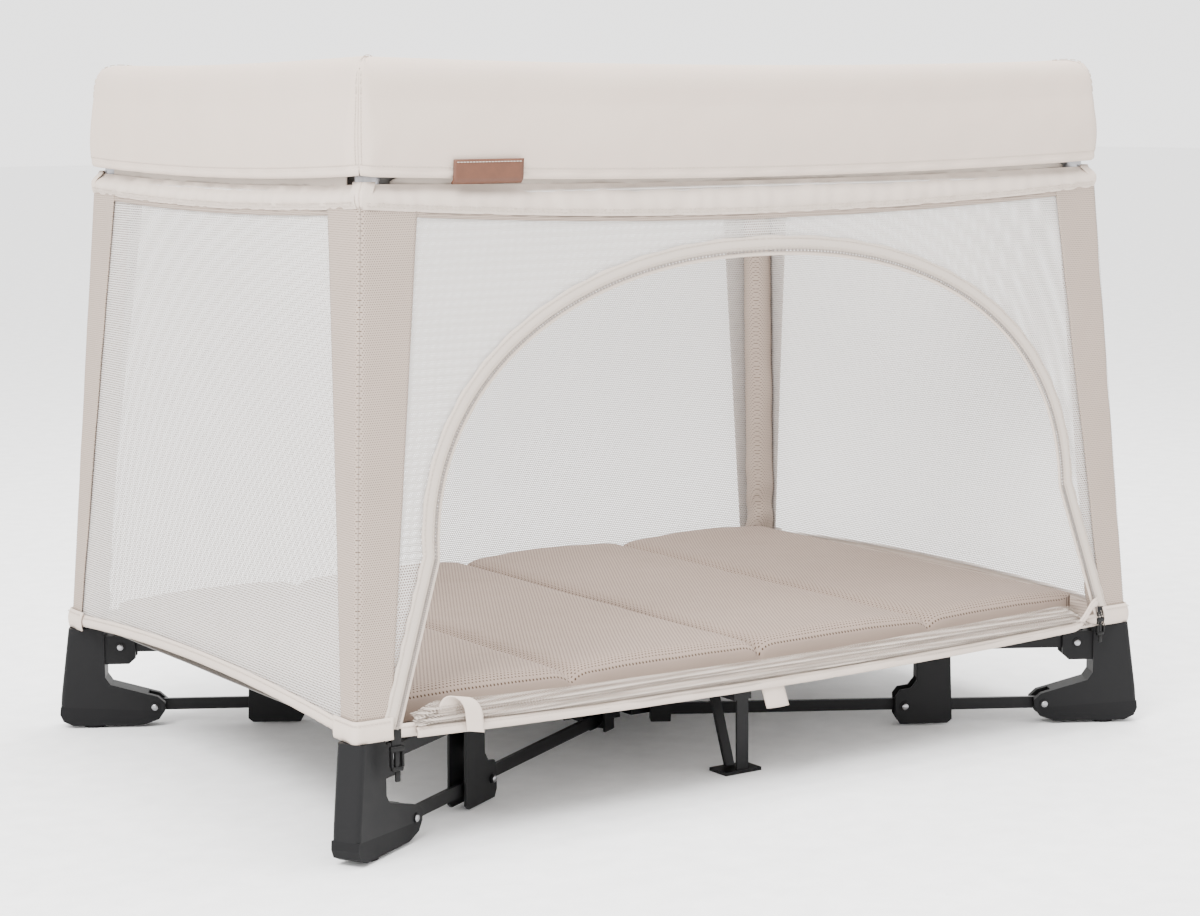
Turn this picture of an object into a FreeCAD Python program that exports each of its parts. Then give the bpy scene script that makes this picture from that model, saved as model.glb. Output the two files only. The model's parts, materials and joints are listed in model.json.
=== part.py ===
import FreeCAD, Part
import math
import os

import Sketcher
from FreeCAD import Placement, Rotation, Vector

# Folding playpen. X runs along the long side, Y to the back, Z up, and the origin is on the floor at
# the centre. The links of each leg set lie in an upright "link plane" through the corner's lower pivot.
# A link sketch measures x outward from that pivot and y up from the floor.

SIZES = [
    ("rail_half_x", 472, "centre to the side rails' axes"),
    ("rail_half_y", 304, "centre to the front and back rails' axes"),
    ("rail_height", 775, "floor to the rails' axes"),
    ("rail_radius", 12.5, "outside radius of the top rails"),
    ("post_splay", 41, "how far each post spreads outward, in X and in Y, from rail to foot"),
    ("post_foot_height", 124, "floor to the top of a corner foot"),
    ("post_radius", 12.5, "outside radius of a post"),
    ("post_wall", 1.5, "wall of a post's tube"),
    ("pivot_inset", 45, "rail corner's centre to the rail's pivot"),
    ("latch_gap", 25, "middle of a rail latch to either of its pivots"),
    ("foot_setback", 75, "post's foot back to the lower pivot, along the link plane"),
    ("low_height", 25, "floor to the lower pivots"),
    ("pivot_rise", 75, "lower pivots up to the upper ones"),
    ("foot_lever", 40, "upper pivots' outward offset on a foot and on a leg"),
    ("outer_reach", 171, "corner's lower pivot to the inner leg's"),
    ("link_width", 14, "width of the upper links"),
    ("link_depth", 14, "height of every link"),
    ("bar_width", 5, "thickness of the lower flat bars"),
    ("bar_offset", 3.2, "bars' sideways distance from the link plane"),
    ("pin_radius", 3, "pivot pins"),
    ("running_gap", 0.05, "radial clearance of a pin in its link"),
    ("open_gap", 0.4, "radial clearance at a pivot that only follows"),
    ("cheek", 3, "thickness of a leg's side"),
    ("leg_gap", 18, "space between a leg's sides"),
    ("foot_width", 32, "width of a corner foot"),
    ("hub_half_x", 84, "half length of the hub's top"),
    ("hub_half_y", 84, "half width of the hub's top"),
    ("side_reach", 235, "hub's side pivot to the side leg's"),
    ("handle_travel", 10, "pull of the release handle"),
    ("mattress_thick", 28, "thickness of a mattress panel"),
    ("seam_gap", 2, "space between mattress panels"),
    ("wall_thick", 2.2, "thickness of the mesh walls"),
    ("cover_thick", 8, "padded cover"),
    ("cover_drop", 90, "rails' axes down to the cover's hem"),
    ("door_side", 26, "doorway's foot in from the post's axis"),
    ("door_drop", 91, "cover's hem down to the top of the doorway"),
]

WORKED_OUT = [
    ("half_run_x", "=rail_half_x - pivot_inset - latch_gap"),
    ("half_run_y", "=rail_half_y - pivot_inset - latch_gap"),
    ("link_reach", "=sqrt(half_run_x^2 + half_run_y^2)"),
    ("link_angle", "=atan2(half_run_y; half_run_x)"),
    ("post_foot_x", "=rail_half_x + post_splay"),
    ("post_foot_y", "=rail_half_y + post_splay"),
    ("pivot_x", "=post_foot_x - foot_setback * cos(link_angle)"),
    ("pivot_y", "=post_foot_y - foot_setback * sin(link_angle)"),
    ("high_height", "=low_height + pivot_rise"),
    ("hub_lever", "=foot_lever - link_depth - 1"),
    ("tongue", "=rail_radius - 1.5"),
    ("floor_height", "=post_foot_height + 2"),
    ("hem_height", "=rail_height - cover_drop"),
    ("cover_top", "=rail_height + rail_radius + 12.5"),
    ("door_half", "=post_foot_x - door_side"),
    ("door_top", "=hem_height - door_drop"),
]

QUADRANTS = ("back_right", "back_left", "front_right", "front_left")
X_AXIS = Vector(1, 0, 0)
Y_AXIS = Vector(0, 1, 0)
Z_AXIS = Vector(0, 0, 1)

doc = FreeCAD.newDocument("Playpen")
sheet = doc.addObject("Spreadsheet::Sheet", "Sizes")
nodes = []


def fill_sheet():
    """Write the driving sizes as plain numbers, then the sizes worked out from them."""
    for row, (alias, value, note) in enumerate(SIZES, start=1):
        sheet.set(f"A{row}", note)
        sheet.set(f"B{row}", str(value))
        sheet.setAlias(f"B{row}", alias)
    for row, (alias, formula) in enumerate(WORKED_OUT, start=len(SIZES) + 1):
        sheet.set(f"A{row}", alias.replace("_", " "))
        sheet.set(f"B{row}", formula)
        sheet.setAlias(f"B{row}", alias)
    doc.recompute()


def full(expression):
    """An expression over the sheet's names, with each name written out as Sizes.name."""
    names = {alias for alias, *_ in SIZES + WORKED_OUT}
    words = []
    for word in str(expression).replace("(", " ( ").replace(")", " ) ").split():
        bare = word.lstrip("-")
        sign = word[: len(word) - len(bare)]
        words.append(f"{sign}Sizes.{bare}" if bare in names else word)
    return " ".join(words)


def value(expression):
    """The number an expression stands for now."""
    return float(sheet.evalExpression(full(expression)))


def bind(item, **expressions):
    """Tie properties to the sheet. A double underscore in a name stands for a dot."""
    for name, expression in expressions.items():
        item.setExpression(name.replace("__", "."), full(expression))


def place(item, x=0, y=0, z=0, axis=Z_AXIS, turn=0):
    """Turn an item about an axis and bind its position to the sheet."""
    item.Placement = Placement(Vector(), Rotation(axis, turn))
    bind(item, Placement__Base__x=x, Placement__Base__y=y, Placement__Base__z=z)
    return item


def to_link_plane(item):
    """Stand an item, built round the corner's lower pivot, in the link plane of the back right quadrant."""
    item.Placement = Placement(Vector(), Rotation(Z_AXIS, 1))
    bind(item, Placement__Base__x="pivot_x", Placement__Base__y="pivot_y")
    bind(item, Placement__Rotation__Angle="link_angle")
    return item


def box(name, length, width, height, x, y, z):
    """A box with its lowest corner at x, y, z."""
    item = doc.addObject("Part::Box", name)
    bind(item, Length=length, Width=width, Height=height)
    return place(item, x, y, z)


def rod(name, radius, height, x, y, z, axis=Z_AXIS, turn=0):
    """A round bar from x, y, z along +Z, turned about an axis."""
    item = doc.addObject("Part::Cylinder", name)
    bind(item, Radius=radius, Height=height)
    return place(item, x, y, z, axis, turn)


def cut(name, base, tool):
    item = doc.addObject("Part::Cut", name)
    item.Base = base
    item.Tool = tool
    return item


def fuse(name, parts):
    item = doc.addObject("Part::MultiFuse", name)
    item.Shapes = parts
    return item


def group(name, parts):
    """Separate solids that belong to one piece."""
    item = doc.addObject("Part::Compound", name)
    item.Links = parts
    return item


def body(name):
    return doc.addObject("PartDesign::Body", name + "_body")


def sketch(owner, name, plane="XZ_Plane", offset=0):
    """A sketch on one of the body's own origin planes."""
    item = owner.newObject("Sketcher::SketchObject", name)
    item.AttachmentSupport = (next(f for f in owner.Origin.OriginFeatures if f.Role == plane), "")
    item.MapMode = "FlatFace"
    bind(item, AttachmentOffset__Base__z=offset)
    return item


def fix_point(item, geometry, corner, x, y):
    """Hold a sketch point at x, y from the sketch's origin."""
    for kind, expression in (("DistanceX", x), ("DistanceY", y)):
        index = item.addConstraint(
            Sketcher.Constraint(kind, -1, 1, geometry, corner, value(expression))
        )
        item.setExpression(f"Constraints[{index}]", full(expression))


def add_outline(item, points):
    """A closed outline of straight sides through the points."""
    first = item.GeometryCount
    corners = [Vector(value(x), value(y), 0) for x, y in points]
    count = len(points)
    for i in range(count):
        item.addGeometry(Part.LineSegment(corners[i], corners[(i + 1) % count]), False)
    for i in range(count):
        item.addConstraint(
            Sketcher.Constraint("Coincident", first + i, 2, first + (i + 1) % count, 1)
        )
        fix_point(item, first + i, 1, *points[i])


def add_circle(item, x, y, radius):
    index = item.addGeometry(Part.Circle(Vector(value(x), value(y), 0), Z_AXIS, value(radius)), False)
    fix_point(item, index, 3, x, y)
    size = item.addConstraint(Sketcher.Constraint("Radius", index, value(radius)))
    item.setExpression(f"Constraints[{size}]", full(radius))


def add_rectangle(item, x0, y0, x1, y1):
    add_outline(item, [(x0, y0), (x1, y0), (x1, y1), (x0, y1)])


def pad(owner, profile, length, symmetric=True):
    item = owner.newObject("PartDesign::Pad", profile.Name + "_pad")
    item.Profile = profile
    item.Midplane = symmetric
    bind(item, Length=length)
    doc.recompute()
    return item


def pocket(owner, profile, length):
    """Cut a profile both ways from its plane, and check that material really left."""
    doc.recompute()
    before = owner.Shape.Volume
    item = owner.newObject("PartDesign::Pocket", profile.Name + "_pocket")
    item.Profile = profile
    item.Midplane = True
    bind(item, Length=length)
    doc.recompute()
    if owner.Shape.Volume >= before:
        raise RuntimeError(f"{item.Name} cuts nothing")
    return item


def round_edges(owner, feature, radius, wanted):
    """Fillet the edges of a feature that the test picks."""
    names = [f"Edge{i}" for i, edge in enumerate(feature.Shape.Edges, start=1) if wanted(edge)]
    item = owner.newObject("PartDesign::Fillet", feature.Name + "_fillet")
    item.Base = (feature, names)
    bind(item, Radius=radius)
    doc.recompute()
    return item


def along(edge, direction):
    """Whether an edge is a straight one along a direction."""
    if edge.Curve.TypeId != "Part::GeomLine":
        return False
    return abs(edge.Curve.Direction.dot(direction)) > 0.999


def mirrored(name, source, normal):
    item = doc.addObject("Part::Mirroring", name)
    item.Source = source
    item.Base = Vector()
    item.Normal = normal
    return item


def node(label, item):
    """Name a finished piece: its label is the name of its file."""
    item.Label = label
    nodes.append((label, item))
    return item


def in_four(kind, master):
    """The same piece in every quadrant, from the one at the back right."""
    left = mirrored(kind + "_back_left", master, X_AXIS)
    for quadrant, item in zip(
        QUADRANTS,
        (master, left, mirrored(kind + "_front_right", master, Y_AXIS),
         mirrored(kind + "_front_left", left, Y_AXIS)),
    ):
        node(f"{kind}_{quadrant}", item)


def bolt(name, x, z, half_grip, head=0, head_radius="pin_radius + 2.5"):
    """A pin across the link plane, with a head on each side if head is over 0."""
    reach = f"( {half_grip} + {head} )"
    pin = rod(name, "pin_radius", f"2 * {reach}", x, reach, z, X_AXIS, 90)
    if not head:
        return pin
    heads = [
        rod(f"{name}_head_{side}", head_radius, head, x, f"{y}", z, X_AXIS, 90)
        for side, y in (("left", reach), ("right", f"-1 * ( {half_grip} )"))
    ]
    return fuse(name + "_bolt", [pin] + heads)


def link(name, start, end, height, width, offset, start_gap, end_gap):
    """A flat or square link with round ends, and a hole for a pin at each end."""
    owner = body(name)
    radius = "link_depth / 2"
    plate = sketch(owner, name + "_plate", offset=f"-1 * {offset}")
    low = f"{height} - {radius}"
    high = f"{height} + {radius}"
    add_rectangle(plate, start, low, end, high)
    pad(owner, plate, width)
    ends = []
    for side, x, gap in (("start", start, start_gap), ("end", end, end_gap)):
        disc = sketch(owner, f"{name}_{side}", offset=f"-1 * {offset}")
        add_circle(disc, x, height, radius)
        ends.append((side, x, gap))
        pad(owner, disc, width)
    for side, x, gap in ends:
        hole = sketch(owner, f"{name}_{side}_hole", offset=f"-1 * {offset}")
        add_circle(hole, x, height, f"pin_radius + {gap}")
        pocket(owner, hole, f"{width} + 2")
    return owner


def build_links():
    """The four links of a leg set: two square tubes above and two flat bars below."""
    leg = "-1 * outer_reach"
    hub = "-1 * link_reach"
    upper = dict(height="high_height", width="link_width", offset="0")
    lower = dict(height="low_height", width="bar_width")
    run = "running_gap"
    loose = "open_gap"
    outer_tube = link(
        "outer_tube", f"foot_lever + {leg}", "foot_lever", start_gap=run, end_gap=run, **upper
    )
    inner_tube = link(
        "inner_tube", f"hub_lever + {hub}", f"hub_lever + {leg}", start_gap=run, end_gap=run, **upper
    )
    outer_bar = link("outer_bar", leg, "0", offset="bar_offset", start_gap=run, end_gap=loose, **lower)
    inner_bar = link("inner_bar", hub, leg, offset="-1 * bar_offset", start_gap=loose, end_gap=run, **lower)
    for name, item in (
        ("outer_tube", outer_tube), ("inner_tube", inner_tube),
        ("outer_bar", outer_bar), ("inner_bar", inner_bar),
    ):
        in_four(name, to_link_plane(item))


def pin_holes(owner, name, centres, width):
    """Holes that hold a piece's own pins."""
    holes = sketch(owner, name)
    for x, z in centres:
        add_circle(holes, x, z, "pin_radius")
    pocket(owner, holes, width)


def build_inner_leg():
    """A leg half way along each arm: two sides joined by a web, open outward, above and below."""
    name = "inner_leg"
    owner = body(name)
    pivot = "-1 * outer_reach"
    pivots = [
        (pivot, "low_height"),
        (f"{pivot} + foot_lever", "high_height"),
        (f"{pivot} + hub_lever", "high_height"),
    ]
    top = "high_height + 9"
    side = sketch(owner, "leg_side")
    add_outline(side, [
        (f"{pivot} - 12", "13"), (f"{pivot} - 6", "3"), (f"{pivot} + 52", "3"), (f"{pivot} + 58", "8"),
        (f"{pivot} + 55", top), (f"{pivot} + 14", top), (f"{pivot} + 14", "56"), (f"{pivot} + 7", "47"),
        (f"{pivot} - 6", "45"), (f"{pivot} - 12", "37"),
    ])
    outside = pad(owner, side, "leg_gap + 2 * cheek")
    round_edges(owner, outside, "1.2", lambda edge: along(edge, Z_AXIS))
    inside = sketch(owner, "leg_inside")
    back = f"{pivot} + 18"
    add_outline(inside, [
        (f"{pivot} - 30", "-5"), (f"{pivot} + 80", "-5"), (f"{pivot} + 80", f"{top} + 20"),
        (f"{pivot} - 30", f"{top} + 20"), (f"{pivot} - 30", "high_height - 10"),
        (back, "high_height - 10"), (back, "60"), (f"{pivot} - 30", "60"),
    ])
    pocket(owner, inside, "leg_gap")
    pin_holes(owner, "leg_holes", pivots, "leg_gap + 2 * cheek + 2")
    half = "leg_gap / 2 + cheek"
    bolts = [bolt(f"leg_bolt_{i}", x, z, half, "2") for i, (x, z) in enumerate(pivots)]
    in_four(name, to_link_plane(group(name, [owner] + bolts)))


def post_line(low, high):
    """A post's axis at the back right, from one height to another."""
    foot = value("post_foot_height")
    slope = value("post_splay") / (value("rail_height") - foot)
    ends = []
    for height in (low, high):
        inward = (height - foot) * slope
        ends.append(Vector(value("post_foot_x") - inward, value("post_foot_y") - inward, height))
    return ends


def slanted_rod(name, radius, low, high):
    """A round bar along the post's axis, its sizes read from the sheet."""
    start, end = post_line(low, high)
    item = doc.addObject("Part::Feature", name)
    item.Shape = Part.makeCylinder(radius, (end - start).Length, Vector(), end - start)
    item.Placement = Placement(start, Rotation())
    return item


def build_post():
    """A hollow post, seated in the foot below and ending under the rail corner."""
    radius = value("post_radius")
    low = value("low_height") + 20
    high = value("rail_height") - 19
    outside = slanted_rod("post_outside", radius, low, high)
    inside = slanted_rod("post_inside", radius - value("post_wall"), low - 5, high + 5)
    in_four("corner_post", cut("corner_post", outside, inside))


def build_foot():
    """A corner foot: a socket for the post, an arm to the lower bar and a bracket for the upper tube."""
    name = "foot"
    owner = body(name)
    post = "foot_setback"
    side = sketch(owner, "foot_side")
    add_outline(side, [
        ("-12", "low_height - 5"), (f"{post} + 39", "low_height + 2"), (f"{post} + 38", "low_height + 16"),
        (f"{post} + 27", "post_foot_height"), (f"{post} - 16", "post_foot_height"),
        (f"{post} - 16", "low_height + 38"), (f"{post} - 22", "low_height + 29"),
        ("-4", "low_height + 13"), ("-13", "low_height + 5"),
    ])
    block = pad(owner, side, "foot_width")
    round_edges(
        owner, block, "5",
        lambda edge: edge.BoundBox.ZLength > 40 and edge.CenterOfMass.x > value(post),
    )
    bracket = sketch(owner, "foot_bracket")
    add_outline(bracket, [
        ("foot_lever - 18", "high_height - 14"), ("foot_lever - 10", "high_height - 21"),
        (f"{post} - 14", "high_height - 21"), (f"{post} - 14", "high_height + 14"),
        ("foot_lever - 12", "high_height + 14"), ("foot_lever - 18", "high_height + 8"),
    ])
    pad(owner, bracket, "leg_gap + 8")
    bar_slot = sketch(owner, "foot_bar_slot")
    add_rectangle(bar_slot, "-30", "0", "link_depth / 2 + 1.5", "high_height - 30")
    pocket(owner, bar_slot, "15")
    tube_slot = sketch(owner, "foot_tube_slot")
    add_rectangle(
        tube_slot, "-10", "high_height - 40", "foot_lever + link_depth / 2 + 1.5", "high_height + 40"
    )
    pocket(owner, tube_slot, "leg_gap - 2")
    pivots = [("0", "low_height"), ("foot_lever", "high_height")]
    pin_holes(owner, "foot_holes", pivots, "foot_width + 2")
    to_link_plane(owner)
    socket = slanted_rod("foot_socket", value("post_radius") + 0.1, value("low_height") + 19.5, 400)
    shell = cut("foot_shell", owner, socket)
    bolts = [
        to_link_plane(bolt("foot_bolt_low", *pivots[0], "foot_width / 2", "1.2")),
        to_link_plane(bolt("foot_bolt_high", *pivots[1], "leg_gap / 2 + 4", "1.2")),
    ]
    in_four(name, group(name, [shell] + bolts))


def build_sole():
    """The soft sole under a foot, with a round glide that meets the floor."""
    owner = body("foot_sole")
    post = "foot_setback"
    side = sketch(owner, "sole_side")
    add_outline(side, [
        ("-12", "low_height - 5"), ("-5", "10"), ("14", "3.5"), (f"{post} + 24", "3.5"),
        (f"{post} + 36", "9"), (f"{post} + 40", "18"), (f"{post} + 39", "low_height + 2"),
    ])
    pad(owner, side, "foot_width")
    slot = sketch(owner, "sole_slot")
    add_rectangle(slot, "-30", "0", "link_depth / 2 + 1.5", "60")
    pocket(owner, slot, "15")
    to_link_plane(owner)
    glide = rod("sole_glide", "13", "5", "post_foot_x", "post_foot_y", "0")
    in_four("foot_sole", fuse("foot_sole", [owner, glide]))


def clevis_arm(name, reach):
    """A forked arm from a rail corner's centre toward -X, round the rail's tongue."""
    owner = body(name)
    arm = sketch(owner, name + "_arm")
    add_rectangle(arm, f"-1 * {reach}", "-13", "-10", "13")
    pad(owner, arm, "28")
    end = sketch(owner, name + "_round")
    add_circle(end, f"-1 * {reach}", "0", "13")
    pad(owner, end, "28")
    fork = sketch(owner, name + "_fork")
    add_rectangle(fork, f"-1 * {reach} - 30", "-30", f"-1 * {reach} + 20", "30")
    pocket(owner, fork, "12")
    hole = sketch(owner, name + "_hole")
    add_circle(hole, f"-1 * {reach}", "0", "pin_radius")
    pocket(owner, hole, "40")
    return owner


def build_rail_corner():
    """The moulding on top of each post, with a fork for each of its two rails."""
    name = "rail_corner"
    block = box(
        "corner_block", "40", "40", "28", "rail_half_x - 20", "rail_half_y - 20", "rail_height - 14"
    )
    along_x = place(clevis_arm("corner_fork_x", "pivot_inset"), "rail_half_x", "rail_half_y", "rail_height")
    along_y = place(
        clevis_arm("corner_fork_y", "pivot_inset"), "rail_half_x", "rail_half_y", "rail_height", Z_AXIS, 90
    )
    pin_x = rod("corner_pin_x", "pin_radius", "28", "rail_half_x - pivot_inset", "rail_half_y + 14",
                "rail_height", X_AXIS, 90)
    pin_y = rod("corner_pin_y", "pin_radius", "28", "rail_half_x - 14", "rail_half_y - pivot_inset",
                "rail_height", Y_AXIS, 90)
    in_four(name, group(name, [fuse("corner_moulding", [block, along_x, along_y]), pin_x, pin_y]))


def rail_half(name, run):
    """Half a rail along +X: a round bar between flat tongues, from the latch's pivot outward."""
    owner = body(name)
    plate = sketch(owner, name + "_tongue")
    add_rectangle(plate, "latch_gap", "-1 * tongue", f"latch_gap + {run}", "tongue")
    pad(owner, plate, "11")
    for side, x in (("near", "latch_gap"), ("far", f"latch_gap + {run}")):
        end = sketch(owner, f"{name}_{side}")
        add_circle(end, x, "0", "tongue")
        pad(owner, end, "11")
    bar = rod(name + "_bar", "rail_radius", f"{run} - 32", "latch_gap + 16", "0", "0", Y_AXIS, 90)
    whole = fuse(name + "_whole", [owner, bar])
    holes = [
        rod(f"{name}_near_hole", "pin_radius + open_gap", "40", "latch_gap", "20", "0", X_AXIS, 90),
        rod(
            f"{name}_far_hole", "pin_radius + running_gap", "40", f"latch_gap + {run}", "20", "0", X_AXIS, 90
        ),
    ]
    return cut(name, cut(name + "_first", whole, holes[0]), holes[1])


def build_rails():
    """Eight rail halves: each long or short rail folds down at its middle."""
    long_half = place(rail_half("long_half", "half_run_x"), "0", "rail_half_y", "rail_height")
    short_half = place(
        rail_half("short_half", "half_run_y"), "rail_half_x", "0", "rail_height", Z_AXIS, 90
    )
    long_left = mirrored("long_left", long_half, X_AXIS)
    node("back_rail_right", long_half)
    node("back_rail_left", long_left)
    node("front_rail_right", mirrored("long_front_right", long_half, Y_AXIS))
    node("front_rail_left", mirrored("long_front_left", long_left, Y_AXIS))
    short_front = mirrored("short_front", short_half, Y_AXIS)
    node("right_rail_back", short_half)
    node("right_rail_front", short_front)
    node("left_rail_back", mirrored("short_left_back", short_half, X_AXIS))
    node("left_rail_front", mirrored("short_left_front", short_front, X_AXIS))


def latch(name):
    """A rail latch along X: a block with a fork and a pin at each end."""
    owner = body(name)
    plate = sketch(owner, name + "_plate")
    add_rectangle(plate, "-1 * latch_gap", "-13", "latch_gap", "13")
    pad(owner, plate, "28")
    for side, sign in (("low", "-1"), ("high", "1")):
        end = sketch(owner, f"{name}_{side}_end")
        add_circle(end, f"{sign} * latch_gap", "0", "13")
        pad(owner, end, "28")
    forks = sketch(owner, name + "_forks")
    add_rectangle(forks, "-1 * latch_gap - 20", "-20", "12.5 - latch_gap", "20")
    add_rectangle(forks, "latch_gap - 12.5", "-20", "latch_gap + 20", "20")
    pocket(owner, forks, "12")
    pin_holes(owner, name + "_holes", [("-1 * latch_gap", "0"), ("latch_gap", "0")], "40")
    pins = [bolt(f"{name}_pin_{i}", f"{sign} * latch_gap", "0", "14") for i, sign in enumerate(("-1", "1"))]
    return group(name, [owner] + pins)


def build_latches():
    """A latch in the middle of each rail."""
    back = place(latch("back_latch"), "0", "rail_half_y", "rail_height")
    right = place(latch("right_latch"), "rail_half_x", "0", "rail_height", Z_AXIS, 90)
    node("back_rail_latch", back)
    node("front_rail_latch", mirrored("front_latch", back, Y_AXIS))
    node("right_rail_latch", right)
    node("left_rail_latch", mirrored("left_latch", right, X_AXIS))


def hub_cheeks():
    """The hub's fork for one leg set, in the link plane, with its two pins."""
    owner = body("hub_fork")
    pivot = "-1 * link_reach"
    side = sketch(owner, "hub_fork_side")
    top = "high_height + 14"
    add_outline(side, [
        (f"{pivot} - 16", "12"), (f"{pivot} + 8", "12"), (f"{pivot} + 10", "40"),
        (f"{pivot} + hub_lever + 8", "high_height - 10"), (f"{pivot} + hub_lever + 8", top),
        (f"{pivot} - 16", top),
    ])
    pad(owner, side, "link_width + 8")
    gap = sketch(owner, "hub_fork_gap")
    add_rectangle(gap, f"{pivot} - 8.5", "0", f"{pivot} + 80", "high_height + 9")
    pocket(owner, gap, "link_width + 2")
    pivots = [(pivot, "low_height"), (f"{pivot} + hub_lever", "high_height")]
    pin_holes(owner, "hub_fork_holes", pivots, "link_width + 20")
    pins = [bolt(f"hub_pin_{i}", x, z, "link_width / 2 + 4") for i, (x, z) in enumerate(pivots)]
    return to_link_plane(owner), to_link_plane(group("hub_pins", pins))


def quadruple(name, item):
    """An item with its mirror images in the other three quadrants."""
    left = mirrored(name + "_left", item, X_AXIS)
    return [item, left, mirrored(name + "_front", item, Y_AXIS), mirrored(name + "_front_left", left, Y_AXIS)]


def side_fork_pin(name, y):
    """The pin of the hub's fork for a side arm."""
    return rod(name, "pin_radius", "22", "-11", y, "high_height", Y_AXIS, 90)


def build_hub():
    """The hub that the carer lifts: a cap, a housing below it and a fork for each link plane."""
    fork, pins = hub_cheeks()
    owner = body("hub")
    cap = sketch(owner, "hub_cap", plane="XY_Plane", offset="high_height + 12")
    add_rectangle(cap, "-1 * hub_half_x", "-1 * hub_half_y", "hub_half_x", "hub_half_y")
    plate = pad(owner, cap, "10", symmetric=False)
    round_edges(owner, plate, "20", lambda edge: along(edge, Z_AXIS))
    forks = quadruple("hub_fork", fork)
    housing = box("hub_housing", "124", "120", "high_height - 11", "-62", "-60", "20")
    lumps = [
        rod(f"hub_lump_{i}", "9", "124", "-62", y, "24", Y_AXIS, 90)
        for i, y in enumerate(("-18", "18"))
    ]
    solid = fuse("hub_solid", [owner, housing] + lumps + forks)
    slots = [
        box("hub_slot_back", "16", "34", "high_height + 9", "-8", "31", "-1"),
        box("hub_slot_front", "16", "34", "high_height + 9", "-8", "-65", "-1"),
        box("hub_handle_bay", "92", "32", "30", "-46", "-16", "high_height - 2"),
        rod("hub_guide", "4.2", "60", "0", "0", "50"),
        rod("hub_side_hole_back", "pin_radius", "22", "-11", "40", "high_height", Y_AXIS, 90),
        rod("hub_side_hole_front", "pin_radius", "22", "-11", "-40", "high_height", Y_AXIS, 90),
    ]
    slots += quadruple("hub_clear", hub_clearance())
    hollow = cut("hub_hollow", solid, fuse("hub_slots", slots))
    side_pins = [side_fork_pin("hub_side_pin_back", "40"), side_fork_pin("hub_side_pin_front", "-40")]
    node("hub_body", group("hub_body", [hollow] + quadruple("hub_pin_set", pins) + side_pins))


def hub_clearance():
    """The space in the hub that one leg set's links sweep."""
    owner = body("hub_sweep")
    pivot = "-1 * link_reach"
    space = sketch(owner, "hub_sweep_side")
    add_rectangle(space, f"{pivot} - 8.5", "0", f"{pivot} + 80", "high_height + 9")
    pad(owner, space, "link_width + 2")
    return to_link_plane(owner)


def build_handle():
    """The release handle in the hub's bay: a grip on a stem that pulls straight up."""
    grip = box("handle_grip", "80", "20", "9", "-40", "-10", "high_height + 1")
    stem = rod("handle_stem", "4", "44", "0", "0", "high_height - 40")
    node("release_handle", fuse("release_handle", [grip, stem]))


def side_arm():
    """The arm from the hub to the back side leg."""
    owner = body("side_arm")
    start = "40"
    end = "40 + side_reach"
    radius = "link_depth / 2"
    plate = sketch(owner, "side_arm_plate")
    add_rectangle(plate, start, f"high_height - {radius}", end, f"high_height + {radius}")
    pad(owner, plate, "link_width")
    for side, x in (("inner", start), ("outer", end)):
        disc = sketch(owner, f"side_arm_{side}")
        add_circle(disc, x, "high_height", radius)
        pad(owner, disc, "link_width")
    for side, x in (("inner", start), ("outer", end)):
        hole = sketch(owner, f"side_arm_{side}_hole")
        add_circle(hole, x, "high_height", "pin_radius + running_gap")
        pocket(owner, hole, "link_width + 2")
    return place(owner, turn=90)


def side_leg():
    """The short leg under the middle of a long side: a pad, a front strip, a brace and a fork."""
    owner = body("side_leg")
    end = "40 + side_reach"
    top = "high_height - 10"
    strip = sketch(owner, "leg_strip")
    add_rectangle(strip, f"{end} + 17", "3", f"{end} + 20", f"{top} - 4")
    pad(owner, strip, "16")
    foot = sketch(owner, "leg_pad")
    add_rectangle(foot, f"{end} - 10", "0", f"{end} + 22", "4")
    pad(owner, foot, "50")
    brace = sketch(owner, "leg_brace")
    add_outline(brace, [
        (f"{end} - 8", "3"), (f"{end} - 3", "3"),
        (f"{end} - 34", f"{top} - 4"), (f"{end} - 39", f"{top} - 4"),
    ])
    pad(owner, brace, "12")
    shelf = sketch(owner, "leg_shelf")
    add_rectangle(shelf, f"{end} - 42", f"{top} - 5", f"{end} + 20", f"{top} - 1")
    pad(owner, shelf, "link_width + 10")
    fork = sketch(owner, "leg_fork")
    add_rectangle(fork, f"{end} - 11", f"{top} - 3", f"{end} + 20", "high_height + 12")
    pad(owner, fork, "link_width + 10")
    gap = sketch(owner, "leg_fork_gap")
    add_rectangle(gap, f"{end} - 30", f"{top} - 1", f"{end} + 14", "high_height + 30")
    pocket(owner, gap, "link_width + 4")
    pin_holes(owner, "leg_fork_hole", [(end, "high_height")], "60")
    pin = bolt("side_leg_pin", end, "high_height", "link_width / 2 + 5", "1.5")
    return place(group("side_leg", [owner, pin]), turn=90)


def build_side_legs():
    arm = side_arm()
    leg = side_leg()
    node("side_arm_back", arm)
    node("side_arm_front", mirrored("side_arm_mirror", arm, Y_AXIS))
    node("side_leg_back", leg)
    node("side_leg_front", mirrored("side_leg_mirror", leg, Y_AXIS))


def build_mattress():
    """Four stiff padded panels, side by side along X."""
    half_x = "( post_foot_x - 18 )"
    half_y = "( post_foot_y - 19 )"
    panel = f"( ( 2 * {half_x} - 3 * seam_gap ) / 4 )"
    panels = [
        box(
            f"mattress_panel_{i}", panel, f"2 * {half_y}", "mattress_thick",
            f"{i} * ( {panel} + seam_gap ) - {half_x}", f"-1 * {half_y}", "floor_height + 4",
        )
        for i in range(4)
    ]
    node("mattress", group("mattress", panels))


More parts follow.
